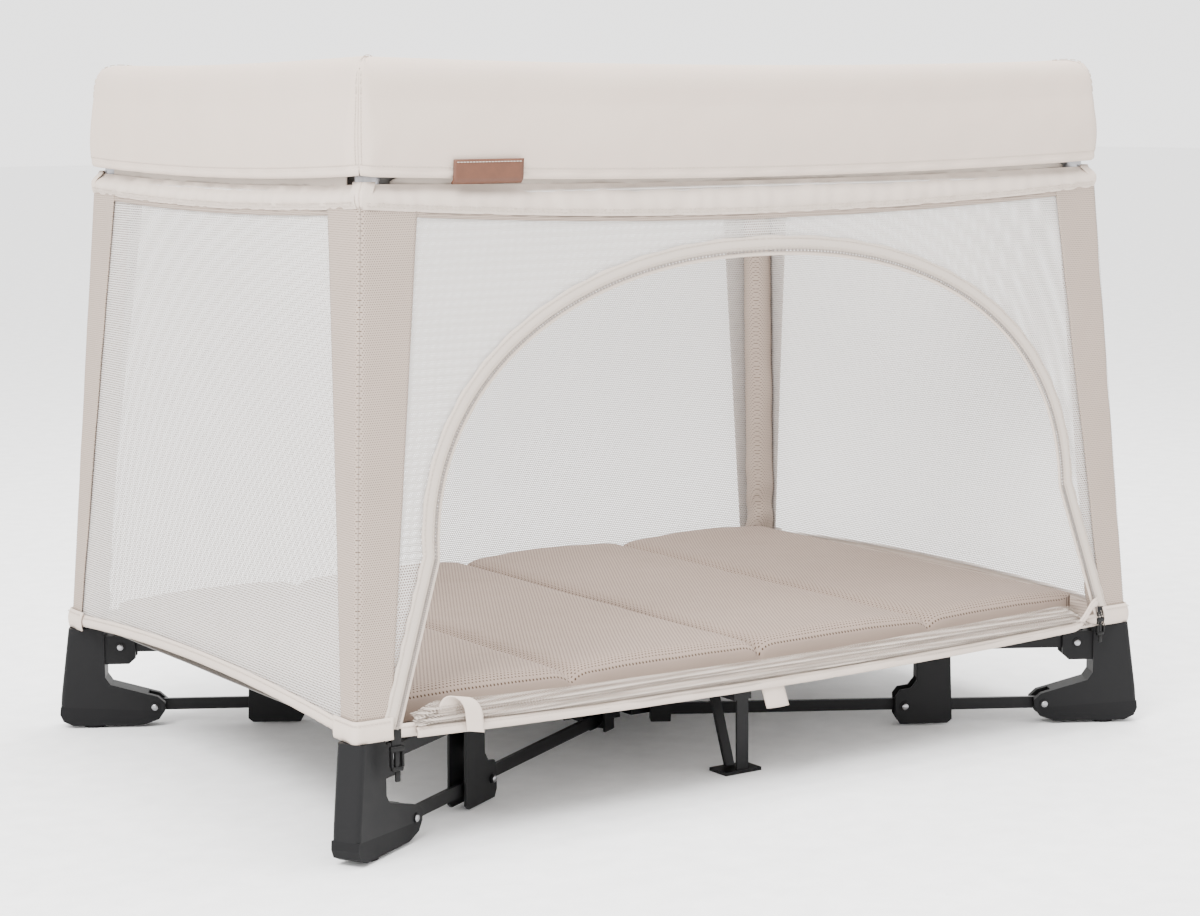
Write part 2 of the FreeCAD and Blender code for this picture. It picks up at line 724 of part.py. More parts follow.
def wall_plate(half_low, half_high, out_low, out_high, low, high):
    """A leaning wall facing -Y: a plate with its inner face at out_low and out_high from the centre."""
    thick = value("wall_thick")
    corners = [
        Vector(-half_low, -out_low, low), Vector(half_low, -out_low, low),
        Vector(half_high, -out_high, high), Vector(-half_high, -out_high, high),
    ]
    face = Part.Face(Part.makePolygon(corners + corners[:1]))
    return face.extrude(Vector(0, -thick, 0))


def doorway():
    """The cutter for the doorway: straight leaning sides under half an ellipse."""
    shoulder_x = 0.887 * value("door_half")
    shoulder_z = value("floor_height") + 0.372 * (value("door_top") - value("floor_height"))
    rise = value("door_top") - shoulder_z
    foot = value("floor_height") + 7
    half = value("door_half")
    middle = Vector(0, 0, shoulder_z)
    if rise > shoulder_x:
        raise RuntimeError("the doorway is taller than it is wide")
    ellipse = Part.Ellipse(middle + Vector(shoulder_x, 0, 0), middle + Vector(0, 0, rise), middle)
    arc = Part.Arc(ellipse, 0, math.pi).toShape()
    right, left = arc.Vertexes[0].Point, arc.Vertexes[-1].Point
    if right.x < left.x:
        right, left = left, right
    sides = Part.makePolygon([right, Vector(half, 0, foot), Vector(-half, 0, foot), left])
    wire = Part.Wire(Part.__sortEdges__([arc] + sides.Edges))
    return Part.Face(wire).extrude(Vector(0, -2000, 0))


def build_enclosure():
    """Four mesh walls just outside the posts and the floor sheet that the mattress lies on."""
    low = value("floor_height")
    high = value("hem_height") - 2
    clear = value("post_radius") + 2.5
    line = post_line(low, high)
    ends = [(point.x + clear, point.y + clear) for point in line]
    short = clear - 4
    walls = []
    front = wall_plate(ends[0][0] - short, ends[1][0] - short, ends[0][1], ends[1][1], low, high)
    walls.append(front.cut(doorway()))
    back = front.mirror(Vector(), Y_AXIS)
    walls.append(back)
    side = wall_plate(ends[0][1] - short, ends[1][1] - short, ends[0][0], ends[1][0], low, high)
    side.rotate(Vector(), Z_AXIS, 90)
    walls.append(side)
    walls.append(side.mirror(Vector(), X_AXIS))
    sheet_x = value("post_foot_x") - 18
    sheet_y = value("post_foot_y") - 19
    walls.append(Part.makeBox(2 * sheet_x, 2 * sheet_y, 2, Vector(-sheet_x, -sheet_y, low)))
    item = doc.addObject("Part::Feature", "mesh_enclosure")
    item.Shape = Part.makeCompound(walls)
    item.Placement = Placement()
    node("mesh_enclosure", item)


def build_cover():
    """The padded cover over the rails: a ring with a channel below for the rails."""
    owner = body("rail_cover")
    top = "cover_top"
    outside = sketch(owner, "cover_outside", plane="XY_Plane", offset="hem_height")
    out_x = "rail_half_x + 30"
    out_y = "rail_half_y + 30"
    add_rectangle(outside, f"-1 * ( {out_x} )", f"-1 * ( {out_y} )", out_x, out_y)
    block = pad(owner, outside, "cover_top - hem_height", symmetric=False)
    rounded = round_edges(owner, block, "22", lambda edge: along(edge, Z_AXIS))
    roof = value(top)
    round_edges(owner, rounded, "14", lambda edge: abs(edge.BoundBox.ZMin - roof) < 0.01)
    channel = sketch(owner, "cover_channel", plane="XY_Plane", offset="hem_height")
    reach_x = "rail_half_x + 30 - cover_thick"
    reach_y = "rail_half_y + 30 - cover_thick"
    add_rectangle(
        channel, "cover_thick - rail_half_x - 30", "cover_thick - rail_half_y - 30", reach_x, reach_y
    )
    add_rectangle(
        channel, "30 - cover_thick - rail_half_x", "30 - cover_thick - rail_half_y",
        "rail_half_x - 30 + cover_thick", "rail_half_y - 30 + cover_thick",
    )
    pocket(owner, channel, "2 * ( cover_top - hem_height - 7 )")
    middle = sketch(owner, "cover_middle", plane="XY_Plane", offset="hem_height")
    add_rectangle(
        middle, "30 - rail_half_x", "30 - rail_half_y", "rail_half_x - 30", "rail_half_y - 30"
    )
    pocket(owner, middle, "2 * ( cover_top - hem_height + 5 )")
    node("rail_cover", owner)


def build_door():
    """The door's mesh flap, gathered along the foot of the doorway, and the clip at each of its ends."""
    front = "post_foot_y + post_radius + 2.5 + wall_thick"
    node("door_flap", box(
        "door_flap", "2 * door_half - 40", "5", "38",
        "20 - door_half", f"-6 - ( {front} )", "floor_height - 6",
    ))
    back = f"-5.5 - ( {front} )"
    node("zip_clip_left", fuse("zip_clip_left", [
        box("left_clip_body", "16", "5", "26", "-8 - door_half", back, "floor_height - 48"),
        box("left_clip_strap", "10", "2.5", "32", "-5 - door_half", back, "floor_height - 24"),
    ]))
    node("zip_clip_right", fuse("zip_clip_right", [
        box("right_clip_body", "12", "5", "22", "door_half - 6", back, "floor_height - 30"),
        box("right_clip_strap", "7", "2.5", "38", "door_half - 3.5", back, "floor_height - 10"),
    ]))


def check():
    """Stop unless every feature computed and every piece is a valid shape."""
    doc.recompute()
    failed = [item.Name for item in doc.Objects if {"Invalid", "Error"} & set(item.State)]
    if failed:
        raise RuntimeError(f"failed features: {failed}")
    for label, item in nodes:
        shape = item.Shape
        if shape.isNull() or not shape.isValid() or not shape.Solids:
            raise RuntimeError(f"{label} has no valid shape")


def export():
    os.makedirs("parts", exist_ok=True)
    for label, item in nodes:
        item.Shape.exportStep(f"parts/{label}.step")
    print(f"wrote {len(nodes)} pieces")


fill_sheet()
build_links()
build_inner_leg()
build_post()
build_foot()
build_sole()
build_rail_corner()
build_rails()
build_latches()
build_hub()
build_handle()
build_side_legs()
build_mattress()
build_enclosure()
build_cover()
build_door()
check()
export()
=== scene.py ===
"""Looks for a folding playpen: cloth, padding, trim and finishes on the fixed frame."""

import json
import logging
import math
from dataclasses import dataclass, field
from enum import Enum
from typing import Callable

import bmesh
import bpy
from mathutils import Matrix, Vector, noise


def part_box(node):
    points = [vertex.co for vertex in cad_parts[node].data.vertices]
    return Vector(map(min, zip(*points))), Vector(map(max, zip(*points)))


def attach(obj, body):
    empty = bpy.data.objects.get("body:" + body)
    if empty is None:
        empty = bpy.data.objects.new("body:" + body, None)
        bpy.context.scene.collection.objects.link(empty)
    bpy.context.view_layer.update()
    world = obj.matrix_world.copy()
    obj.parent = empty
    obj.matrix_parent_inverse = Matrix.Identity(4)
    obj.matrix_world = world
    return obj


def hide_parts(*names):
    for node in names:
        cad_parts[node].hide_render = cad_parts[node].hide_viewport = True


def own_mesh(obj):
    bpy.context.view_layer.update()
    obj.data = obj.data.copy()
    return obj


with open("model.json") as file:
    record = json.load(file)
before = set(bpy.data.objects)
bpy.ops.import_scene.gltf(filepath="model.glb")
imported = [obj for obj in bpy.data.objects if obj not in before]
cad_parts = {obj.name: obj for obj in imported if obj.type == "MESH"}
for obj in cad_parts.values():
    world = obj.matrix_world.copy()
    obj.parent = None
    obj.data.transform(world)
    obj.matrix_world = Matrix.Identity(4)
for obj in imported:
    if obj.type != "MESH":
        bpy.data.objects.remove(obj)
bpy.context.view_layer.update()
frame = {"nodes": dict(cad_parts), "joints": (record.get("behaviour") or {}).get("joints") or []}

log = logging.getLogger("playpen")
UP = Vector((0.0, 0.0, 1.0))
POST_RADIUS = 0.0125
PIVOT_INSET = 0.045
LATCH_GAP = 0.025
CORNERS = (
    ("front_left", -1, -1), ("front_right", 1, -1), ("back_left", -1, 1), ("back_right", 1, 1),
)


class Weave(Enum):
    """Which way a cloth pattern lies on the object."""

    UPRIGHT = "upright"
    FLAT = "flat"


class Side(Enum):
    """A side of the playpen: the axis it runs along, the way it faces and the corner it rides on."""

    FRONT = ("front", (1, 0, 0), (0, -1, 0), "corner_front_left")
    BACK = ("back", (1, 0, 0), (0, 1, 0), "corner_back_left")
    LEFT = ("left", (0, 1, 0), (-1, 0, 0), "corner_front_left")
    RIGHT = ("right", (0, 1, 0), (1, 0, 0), "corner_front_right")

    @property
    def label(self) -> str:
        """The side's plain name."""
        return self.value[0]

    @property
    def run(self) -> Vector:
        """The direction along the side."""
        return Vector(self.value[1])

    @property
    def out(self) -> Vector:
        """The direction the side faces."""
        return Vector(self.value[2])

    @property
    def rider(self) -> str:
        """The body that the side's cloth rides on."""
        return self.value[3]

    @property
    def is_long(self) -> bool:
        """Whether this is a long side."""
        return self in (Side.FRONT, Side.BACK)


def smooth_step(low: float, high: float, value: float) -> float:
    """Rise smoothly from 0 at low to 1 at high."""
    share = min(1.0, max(0.0, (value - low) / (high - low)))
    return share * share * (3 - 2 * share)


def ripple(place: Vector, size: float, seed: float) -> float:
    """Steady noise from -1 to 1 with features of a size in metres."""
    return noise.noise(place / size + Vector((seed, seed * 1.7, seed * 0.3)))


@dataclass(frozen=True)
class Plan:
    """Where the cloth runs, worked out from the frame."""

    base_x: float
    base_y: float
    base_z: float
    slope: float
    rail_x: float
    rail_y: float
    rail_z: float
    door_half: float
    door_foot: float
    door_top: float
    foot_top: float
    travel_x: float
    travel_y: float

    @classmethod
    def from_frame(cls) -> "Plan":
        """Read the frame's boxes and joints.

        Returns:
            The plan of the cloth.
        """
        low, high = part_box("mesh_enclosure")
        post_low, post_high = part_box("corner_post_back_right")
        spread = (post_high.x - POST_RADIUS) - (post_low.x + POST_RADIUS)
        long_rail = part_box("back_rail_right")
        short_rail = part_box("right_rail_back")
        rail_y = (long_rail[0].y + long_rail[1].y) / 2
        rail_z = (long_rail[0].z + long_rail[1].z) / 2
        rail_x = (short_rail[0].x + short_rail[1].x) / 2
        fold = next(joint for joint in frame["joints"] if joint["name"] == "inner_tube_turn_back_right")
        turn = 1 - math.cos(math.radians(fold["range_deg"][1]))
        inset = PIVOT_INSET + LATCH_GAP
        return cls(
            base_x=high.x,
            base_y=high.y,
            base_z=low.z,
            slope=spread / (post_high.z - post_low.z),
            rail_x=rail_x,
            rail_y=rail_y,
            rail_z=rail_z,
            door_half=0.487,
            door_foot=low.z + 0.007,
            door_top=0.594,
            foot_top=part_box("foot_back_right")[1].z,
            travel_x=2 * (rail_x - inset) * turn,
            travel_y=2 * (rail_y - inset) * turn,
        )

    def wall(self, side: Side, height: float) -> float:
        """Distance from the middle to a side's wall at a height."""
        base = self.base_y if side.is_long else self.base_x
        return base - self.slope * (height - self.base_z)

    def reach(self, side: Side, height: float) -> float:
        """Half the length of a side's wall at a height."""
        base = self.base_x if side.is_long else self.base_y
        return base - self.slope * (height - self.base_z)

    def point(self, side: Side, along: float, height: float, off: float = 0.0) -> Vector:
        """A point on a side's wall.

        Args:
            side: The side.
            along: Metres along the side from its middle.
            height: Metres above the floor.
            off: Metres outward from the wall.

        Returns:
            The point in the frame.
        """
        return side.run * along + side.out * (self.wall(side, height) + off) + UP * height

    def keep(self, side: Side, length: float) -> float:
        """The share of a length that is left once the frame is folded."""
        travel = self.travel_x if side.is_long else self.travel_y
        return max(0.12, (length - travel) / length)

    def sag(self, side: Side, along: float) -> float:
        """How much the cloth's lower edge hangs, from 0 at the corners to 1 in the middle."""
        share = along / self.reach(side, self.base_z)
        return max(0.0, 1 - share * share)


PLAN = Plan.from_frame()


class Graph:
    """A material's node tree with one Principled shader."""

    def __init__(self, name: str) -> None:
        """Start a material.

        Args:
            name: The material's name.
        """
        self.material = bpy.data.materials.new(name)
        self.material.use_nodes = True
        self.tree = self.material.node_tree
        self.shader = self.tree.nodes["Principled BSDF"]
        self.coords = self.tree.nodes.new("ShaderNodeTexCoord").outputs["Object"]

    def node(self, kind: str, **inputs: object) -> bpy.types.Node:
        """Add a node and fill or link its inputs by name."""
        made = self.tree.nodes.new(kind)
        for name, value in inputs.items():
            self.fill(made.inputs[name.replace("_", " ")], value)
        return made

    def fill(self, socket: bpy.types.NodeSocket, value: object) -> None:
        """Link a socket, or set its value."""
        if isinstance(value, bpy.types.NodeSocket):
            self.tree.links.new(value, socket)
        else:
            socket.default_value = value

    def maths(self, operation: str, *values: object) -> bpy.types.NodeSocket:
        """One step of arithmetic."""
        made = self.tree.nodes.new("ShaderNodeMath")
        made.operation = operation
        for socket, value in zip(made.inputs, values):
            self.fill(socket, value)
        return made.outputs[0]

    def noise(self, scale: float, detail: float = 3.0, rough: float = 0.5) -> bpy.types.NodeSocket:
        """Noise in the object's own metres, about 0 to 1."""
        made = self.node(
            "ShaderNodeTexNoise", Vector=self.coords, Scale=scale, Detail=detail, Roughness=rough
        )
        return made.outputs[0]

    def axes(self) -> tuple:
        """The X, Y and Z of the object's own place."""
        made = self.node("ShaderNodeSeparateXYZ", Vector=self.coords)
        return tuple(made.outputs)

    def blend(self, share: object, first: tuple, second: tuple) -> bpy.types.NodeSocket:
        """A colour between two."""
        made = self.tree.nodes.new("ShaderNodeMix")
        made.data_type = "RGBA"
        self.fill(made.inputs["Factor"], share)
        self.fill(made.inputs[6], first)
        self.fill(made.inputs[7], second)
        return made.outputs[2]

    def band(self, value: object, low: float, high: float) -> bpy.types.NodeSocket:
        """A smooth rise from 0 at low to 1 at high."""
        made = self.node(
            "ShaderNodeMapRange", Value=value, From_Min=low, From_Max=high, To_Min=0.0, To_Max=1.0
        )
        made.interpolation_type = "SMOOTHSTEP"
        return made.outputs[0]

    def bump(self, height: object, strength: float, distance: float) -> None:
        """Raise the surface by a height in metres."""
        made = self.node("ShaderNodeBump", Height=height, Strength=strength, Distance=distance)
        self.fill(self.shader.inputs["Normal"], made.outputs[0])

    def set(self, **values: object) -> None:
        """Set the shader's own sockets. An underscore stands for a space."""
        for name, value in values.items():
            self.fill(self.shader.inputs[name.replace("_", " ")], value)


def shade(colour: tuple, factor: float) -> tuple:
    """A colour made lighter or darker."""
    return tuple(min(1.0, part * factor) for part in colour) + (1.0,)


@dataclass(frozen=True)
class WovenCloth:
    """Plain woven cloth: crossing threads, a soft mottle and a little sheen."""

    name: str
    colour: tuple
    pitch: float = 0.0016
    depth: float = 0.35
    mottle: float = 0.06

    def build(self) -> bpy.types.Material:
        """Make the material."""
        graph = Graph(self.name)
        x, y, z = graph.axes()
        turn = 2 * math.pi / self.pitch
        across = graph.maths("SINE", graph.maths("MULTIPLY", graph.maths("ADD", x, y), turn))
        along = graph.maths("SINE", graph.maths("MULTIPLY", z, turn))
        weave = graph.maths("MULTIPLY", across, along)
        cloudy = graph.noise(14.0, 4.0)
        grain = graph.noise(900.0, 2.0)
        tone = graph.maths("ADD", graph.maths("MULTIPLY", cloudy, 0.6), graph.maths("MULTIPLY", grain, 0.4))
        low, high = shade(self.colour, 1 - self.mottle), shade(self.colour, 1 + self.mottle)
        graph.set(
            Base_Color=graph.blend(tone, low, high),
            Roughness=0.88,
            Sheen_Weight=0.06,
            Specular_IOR_Level=0.08,
        )
        height = graph.maths("ADD", graph.maths("MULTIPLY", weave, 0.5), graph.maths("MULTIPLY", grain, 1.2))
        graph.bump(height, self.depth, 0.0004)
        return graph.material


@dataclass(frozen=True)
class PiercedCloth:
    """Knitted mesh: staggered holes that are open to the light, or dark dots over a backing."""

    name: str
    colour: tuple
    pitch: float
    hole: float
    weave: Weave = Weave.UPRIGHT
    is_open: bool = True
    dot_shade: float = 0.6
    depth: float = 0.5

    def build(self) -> bpy.types.Material:
        """Make the material."""
        graph = Graph(self.name)
        x, y, z = graph.axes()
        across, along = (graph.maths("ADD", x, y), z) if self.weave is Weave.UPRIGHT else (x, y)
        row_pitch = self.pitch * 0.9
        row = graph.maths("DIVIDE", along, row_pitch)
        shift = graph.maths("MULTIPLY", graph.maths("MODULO", graph.maths("FLOOR", row), 2.0), 0.5)
        column = graph.maths("ADD", graph.maths("DIVIDE", across, self.pitch), shift)
        du = graph.maths("SUBTRACT", graph.maths("FRACT", column), 0.5)
        dv = graph.maths("SUBTRACT", graph.maths("FRACT", row), 0.5)
        away = graph.maths(
            "SQRT", graph.maths("ADD", graph.maths("MULTIPLY", du, du), graph.maths("MULTIPLY", dv, dv))
        )
        thread = graph.band(away, self.hole - 0.08, self.hole + 0.08)
        cloudy = graph.noise(22.0, 3.0)
        lit = graph.blend(cloudy, shade(self.colour, 0.95), shade(self.colour, 1.05))
        if self.is_open:
            graph.set(Base_Color=lit, Alpha=thread)
        else:
            dark = graph.blend(thread, shade(self.colour, self.dot_shade), (1, 1, 1, 1))
            mixed = graph.tree.nodes.new("ShaderNodeMix")
            mixed.data_type = "RGBA"
            mixed.blend_type = "MULTIPLY"
            graph.fill(mixed.inputs["Factor"], 1.0)
            graph.fill(mixed.inputs[6], lit)
            graph.fill(mixed.inputs[7], dark)
            graph.set(Base_Color=mixed.outputs[2])
        graph.set(Roughness=0.85, Sheen_Weight=0.05, Specular_IOR_Level=0.08)
        graph.bump(thread, self.depth, 0.0006)
        return graph.material


@dataclass(frozen=True)
class Moulding:
    """Moulded plastic or coated metal: a fine grain, uneven gloss and faint rubbed patches."""

    name: str
    colour: tuple
    roughness: float = 0.5
    metallic: float = 0.0
    gloss: float = 0.15
    grain: float = 900.0
    depth: float = 0.15

    def build(self) -> bpy.types.Material:
        """Make the material."""
        graph = Graph(self.name)
        fine = graph.noise(self.grain, 2.0)
        patch = graph.noise(26.0, 4.0, 0.6)
        graph.set(
            Base_Color=graph.blend(patch, shade(self.colour, 0.88), shade(self.colour, 1.18)),
            Roughness=graph.maths("ADD", graph.maths("MULTIPLY", patch, 0.16), self.roughness - 0.08),
            Metallic=self.metallic,
            Specular_IOR_Level=self.gloss,
        )
        graph.bump(fine, self.depth, 0.0003)
        return graph.material


@dataclass(frozen=True)
class TanLeather:
    """Smooth brown leather with a pebble grain."""

    name: str
    colour: tuple

    def build(self) -> bpy.types.Material:
        """Make the material."""
        graph = Graph(self.name)
        cells = graph.node("ShaderNodeTexVoronoi", Vector=graph.coords, Scale=900.0).outputs[0]
        patch = graph.noise(90.0, 4.0, 0.6)
        graph.set(
            Base_Color=graph.blend(patch, shade(self.colour, 0.75), shade(self.colour, 1.25)),
            Roughness=graph.maths("ADD", graph.maths("MULTIPLY", patch, 0.2), 0.42),
            Specular_IOR_Level=0.4,
        )
        graph.bump(cells, 0.3, 0.0003)
        return graph.material


COVER_CLOTH = WovenCloth("cover_cloth", (0.545, 0.452, 0.385))
BINDING_CLOTH = WovenCloth("binding_cloth", (0.56, 0.475, 0.41), pitch=0.0022, depth=0.5)
TAPE_CLOTH = WovenCloth("zip_tape_cloth", (0.49, 0.425, 0.37), pitch=0.0012)
THREAD = WovenCloth("sewing_thread", (0.50, 0.43, 0.37), pitch=0.0008)
DARK_THREAD = WovenCloth("dark_thread", (0.25, 0.22, 0.20), pitch=0.0008)
WALL_MESH = PiercedCloth("wall_mesh", (0.58, 0.55, 0.525), pitch=0.0030, hole=0.34)
SLEEVE_CLOTH = PiercedCloth(
    "sleeve_cloth", (0.345, 0.28, 0.235), pitch=0.0026, hole=0.2, is_open=False, dot_shade=0.72
)
FLAP_MESH = PiercedCloth("flap_mesh", (0.41, 0.355, 0.31), pitch=0.0036, hole=0.38)
MATTRESS_CLOTH = PiercedCloth(
    "mattress_cloth", (0.275, 0.212, 0.174), pitch=0.0044, hole=0.22, weave=Weave.FLAT, is_open=False,
    dot_shade=0.74, depth=0.7,
)
BASE_CLOTH = WovenCloth("base_cloth", (0.22, 0.21, 0.20), pitch=0.002)
CHARCOAL = Moulding("charcoal_plastic", (0.0055, 0.0055, 0.006), roughness=0.5)
SOLE_RUBBER = Moulding("sole_rubber", (0.0045, 0.0045, 0.005), roughness=0.62, grain=1400.0)
DARK_STEEL = Moulding("dark_steel", (0.0055, 0.0055, 0.006), roughness=0.36, depth=0.08)
ALLOY = Moulding("alloy_tube", (0.40, 0.40, 0.42), roughness=0.35, metallic=0.8)
BRIGHT_STEEL = Moulding("bright_steel", (0.30, 0.30, 0.31), roughness=0.25, metallic=1.0, depth=0.05)
BLACK_CLIP = Moulding("black_clip", (0.006, 0.006, 0.006), roughness=0.35)
LEATHER = TanLeather("tan_leather", (0.100, 0.037, 0.019))


class Finishes:
    """Builds each finish once."""

    def __init__(self) -> None:
        """Start with nothing built."""
        self.made: dict[str, bpy.types.Material] = {}

    def get(self, finish: object) -> bpy.types.Material:
        """The material of a finish."""
        if finish.name not in self.made:
            self.made[finish.name] = finish.build()
        return self.made[finish.name]


FINISHES = Finishes()


def finished(name: str, mesh: bmesh.types.BMesh, finish: object, smooth: bool = True) -> bpy.types.Object:
    """Turn a bmesh into an object of the scene.

    Args:
        name: The piece's name.
        mesh: Its shape, which is freed.
        finish: The finish it wears.
        smooth: Whether it is shaded smooth.

    Returns:
        The object, at the origin.
    """
    data = bpy.data.meshes.new(name)
    mesh.to_mesh(data)
    mesh.free()
    for polygon in data.polygons:
        polygon.use_smooth = smooth
    data.materials.append(FINISHES.get(finish))
    piece = bpy.data.objects.new(name, data)
    bpy.context.scene.collection.objects.link(piece)
    return piece


def laid_grid(surface: Callable[[float, float], Vector], columns: int, rows: int) -> bmesh.types.BMesh:
    """A grid whose points lie on a surface given by two shares, each 0 to 1."""
    mesh = bmesh.new()
    bmesh.ops.create_grid(mesh, x_segments=columns, y_segments=rows, size=0.5)
    for vert in mesh.verts:
        vert.co = surface(vert.co.x + 0.5, vert.co.y + 0.5)
    return mesh


def thicken(piece: bpy.types.Object, thick: float) -> bpy.types.Object:
    """Give a sheet its thickness, half on each side of its surface, or none if it is 0."""
    if thick:
        solid = piece.modifiers.new("thickness", "SOLIDIFY")
        solid.thickness = thick
        solid.offset = 0.0
    return piece


def cloth(
    name: str, surface: Callable[[float, float], Vector], columns: int, rows: int, finish: object,
    thick: float = 0.0,
) -> bpy.types.Object:
    """A sheet laid over a surface.

    Args:
        name: The piece's name.
        surface: Gives the place of each point from two shares, each 0 to 1.
        columns: Faces across.
        rows: Faces up.
        finish: The cloth's finish.
        thick: The cloth's thickness, outward on both sides of the surface.

    Returns:
        The finished piece.
    """
    return thicken(finished(name, laid_grid(surface, columns, rows), finish), thick)


def tube(
    name: str, surface: Callable[[float, float], Vector], columns: int, rows: int, finish: object,
    thick: float = 0.0,
) -> bpy.types.Object:
    """A sheet whose far edge joins its near one, as in cloth() but closed in its second share."""
    mesh = laid_grid(surface, columns, rows)
    bmesh.ops.remove_doubles(mesh, verts=mesh.verts, dist=0.00005)
    bmesh.ops.recalc_face_normals(mesh, faces=mesh.faces)
    return thicken(finished(name, mesh, finish), thick)


def wear(piece: bpy.types.Object) -> bpy.types.Object:
    """Log that a piece is made."""
    log.info("made %s", piece.name)
    return piece


def hold(piece: bpy.types.Object, side: Side, length: float) -> bpy.types.Object:
    """Make a side's piece ride on its corner."""
    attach(piece, side.rider)
    tuple(side.run)
    PLAN.keep(side, length)
    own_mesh(piece)
    return wear(piece)


def ride(piece: bpy.types.Object, body: str) -> bpy.types.Object:
    """Make a piece ride on a body."""
    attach(piece, body)
    return wear(piece)


def peg(
    mesh: bmesh.types.BMesh, middle: Vector, direction: Vector, sides: int, radius: float, depth: float
) -> None:
    """Add a short closed cylinder that points along a direction."""
    made = bmesh.ops.create_cone(
        mesh, segments=sides, radius1=radius, radius2=radius, depth=depth, cap_ends=True
    )
    turn = UP.rotation_difference(direction).to_matrix().to_4x4()
    bmesh.ops.transform(mesh, matrix=Matrix.Translation(middle) @ turn, verts=made["verts"])


def stitches(
    name: str, line: Callable[[float], Vector], length: float, finish: object = THREAD,
    pitch: float = 0.0045, gauge: float = 0.0009,
) -> bpy.types.Object:
    """A row of short raised stitches along a line.

    Args:
        name: The piece's name.
        line: Gives the line's place from a share of its length.
        length: The line's length in metres.
        finish: The thread's finish.
        pitch: From one stitch to the next.
        gauge: The thread's thickness.

    Returns:
        The finished piece.
    """
    mesh = bmesh.new()
    count = max(2, int(length / pitch))
    for index in range(count):
        start = line((index + 0.15) / count)
        end = line((index + 0.85) / count)
        peg(mesh, (start + end) / 2, (end - start).normalized(), 5, gauge / 2, (end - start).length)
    return finished(name, mesh, finish)


@dataclass
class Doorway:
    """The arched opening in the front wall."""

    shoulder: float = 0.30
    shoulder_share: float = 0.887
    curve: float = 2.2
    foot_share: float = 0.17
    tape: float = 0.0155
    coil_pitch: float = 0.0032
    coil_radius: float = 0.0011
    coil_depth: float = 0.0023
    side: Side = Side.FRONT

    def outline(self, share: float, grow: float = 0.0) -> tuple[float, float]:
        """A point along the arch.

        Args:
            share: 0 at the left foot, 1 at the right foot.
            grow: Metres outward from the opening's edge.

        Returns:
            The place along the front and the height.
        """
        foot_share = self.foot_share
        half, foot = PLAN.door_half, PLAN.door_foot
        reach = self.shoulder_share * half
        sign = -1.0 if share < 0.5 else 1.0
        local = share if share < 0.5 else 1 - share
        lean = math.atan2(half - reach, self.shoulder - foot)
        if local < foot_share:
            part = local / foot_share
            along = half + (reach - half) * part
            height = foot + (self.shoulder - foot) * part
            normal = (math.cos(lean), math.sin(lean))
        else:
            angle = (local - foot_share) / (0.5 - foot_share) * math.pi / 2
            power = 2 / self.curve
            cosine, sine = max(math.cos(angle), 0.0), math.sin(angle)
            rise = PLAN.door_top - self.shoulder
            along = reach * cosine**power
            height = self.shoulder + rise * sine**power
            fade = (local - foot_share) / (0.5 - foot_share)
            nx = cosine ** (2 - power) / reach
            nz = sine ** (2 - power) / rise
            size = math.hypot(nx, nz)
            ease = smooth_step(0.0, 0.12, fade)
            nx = nx / size * ease + math.cos(lean) * (1 - ease)
            nz = nz / size * ease + math.sin(lean) * (1 - ease)
            size = math.hypot(nx, nz)
            normal = (nx / size, nz / size)
        return sign * (along + grow * normal[0]), height + grow * normal[1]

    def point(self, share: float, grow: float, off: float) -> Vector:
        """A point beside the arch, on or off the wall."""
        along, height = self.outline(share, grow)
        return PLAN.point(self.side, along, height, off)

    def length(self) -> float:
        """The arch's length."""
        points = [self.point(index / 200, 0.0, 0.0) for index in range(201)]
        return sum((b - a).length for a, b in zip(points, points[1:]))

    def build(self) -> None:
        """Make the zip's tape, coil, edging and stitches."""
        span = 2 * PLAN.door_half
        length = self.length()

        def tape(u: float, v: float) -> Vector:
            """The cream tape round the arch, a little crowned, with a wavy outer edge."""
            wave = 0.0006 * math.sin(u * length / 0.006)
            crown = 0.0016 * math.sin(math.pi * v)
            return self.point(u, v * self.tape + wave * v, 0.0028 + crown)

        piece = cloth("zip_tape", tape, 260, 5, TAPE_CLOTH, thick=0.0012)
        hold(piece, self.side, span)

        def edging(u: float, v: float) -> Vector:
            """The narrow grey strip inside the zip."""
            return self.point(u, -0.0015 - 0.0045 * v, 0.0022)

        piece = cloth("zip_edging", edging, 220, 2, BINDING_CLOTH, thick=0.0008)
        hold(piece, self.side, span)
        self.coil(length, span)
        for index, grow in enumerate((0.0035, self.tape - 0.0025)):
            line = stitches(
                f"zip_stitch_{index}", lambda u, g=grow: self.point(u, g, 0.0049), length, pitch=0.005,
                gauge=0.0008,
            )
            hold(line, self.side, span)

    def coil(self, length: float, span: float) -> None:
        """The dark zip coil between the tape and the edging."""
        mesh = bmesh.new()
        count = int(length / self.coil_pitch)
        for index in range(count):
            share = (index + 0.5) / count
            place = self.point(share, -0.0006, 0.0040)
            tip = self.point(share, 0.003, 0.0040)
            peg(mesh, place, (tip - place).normalized(), 6, self.coil_radius, self.coil_depth)
        hold(finished("zip_coil", mesh, DARK_THREAD), self.side, span)


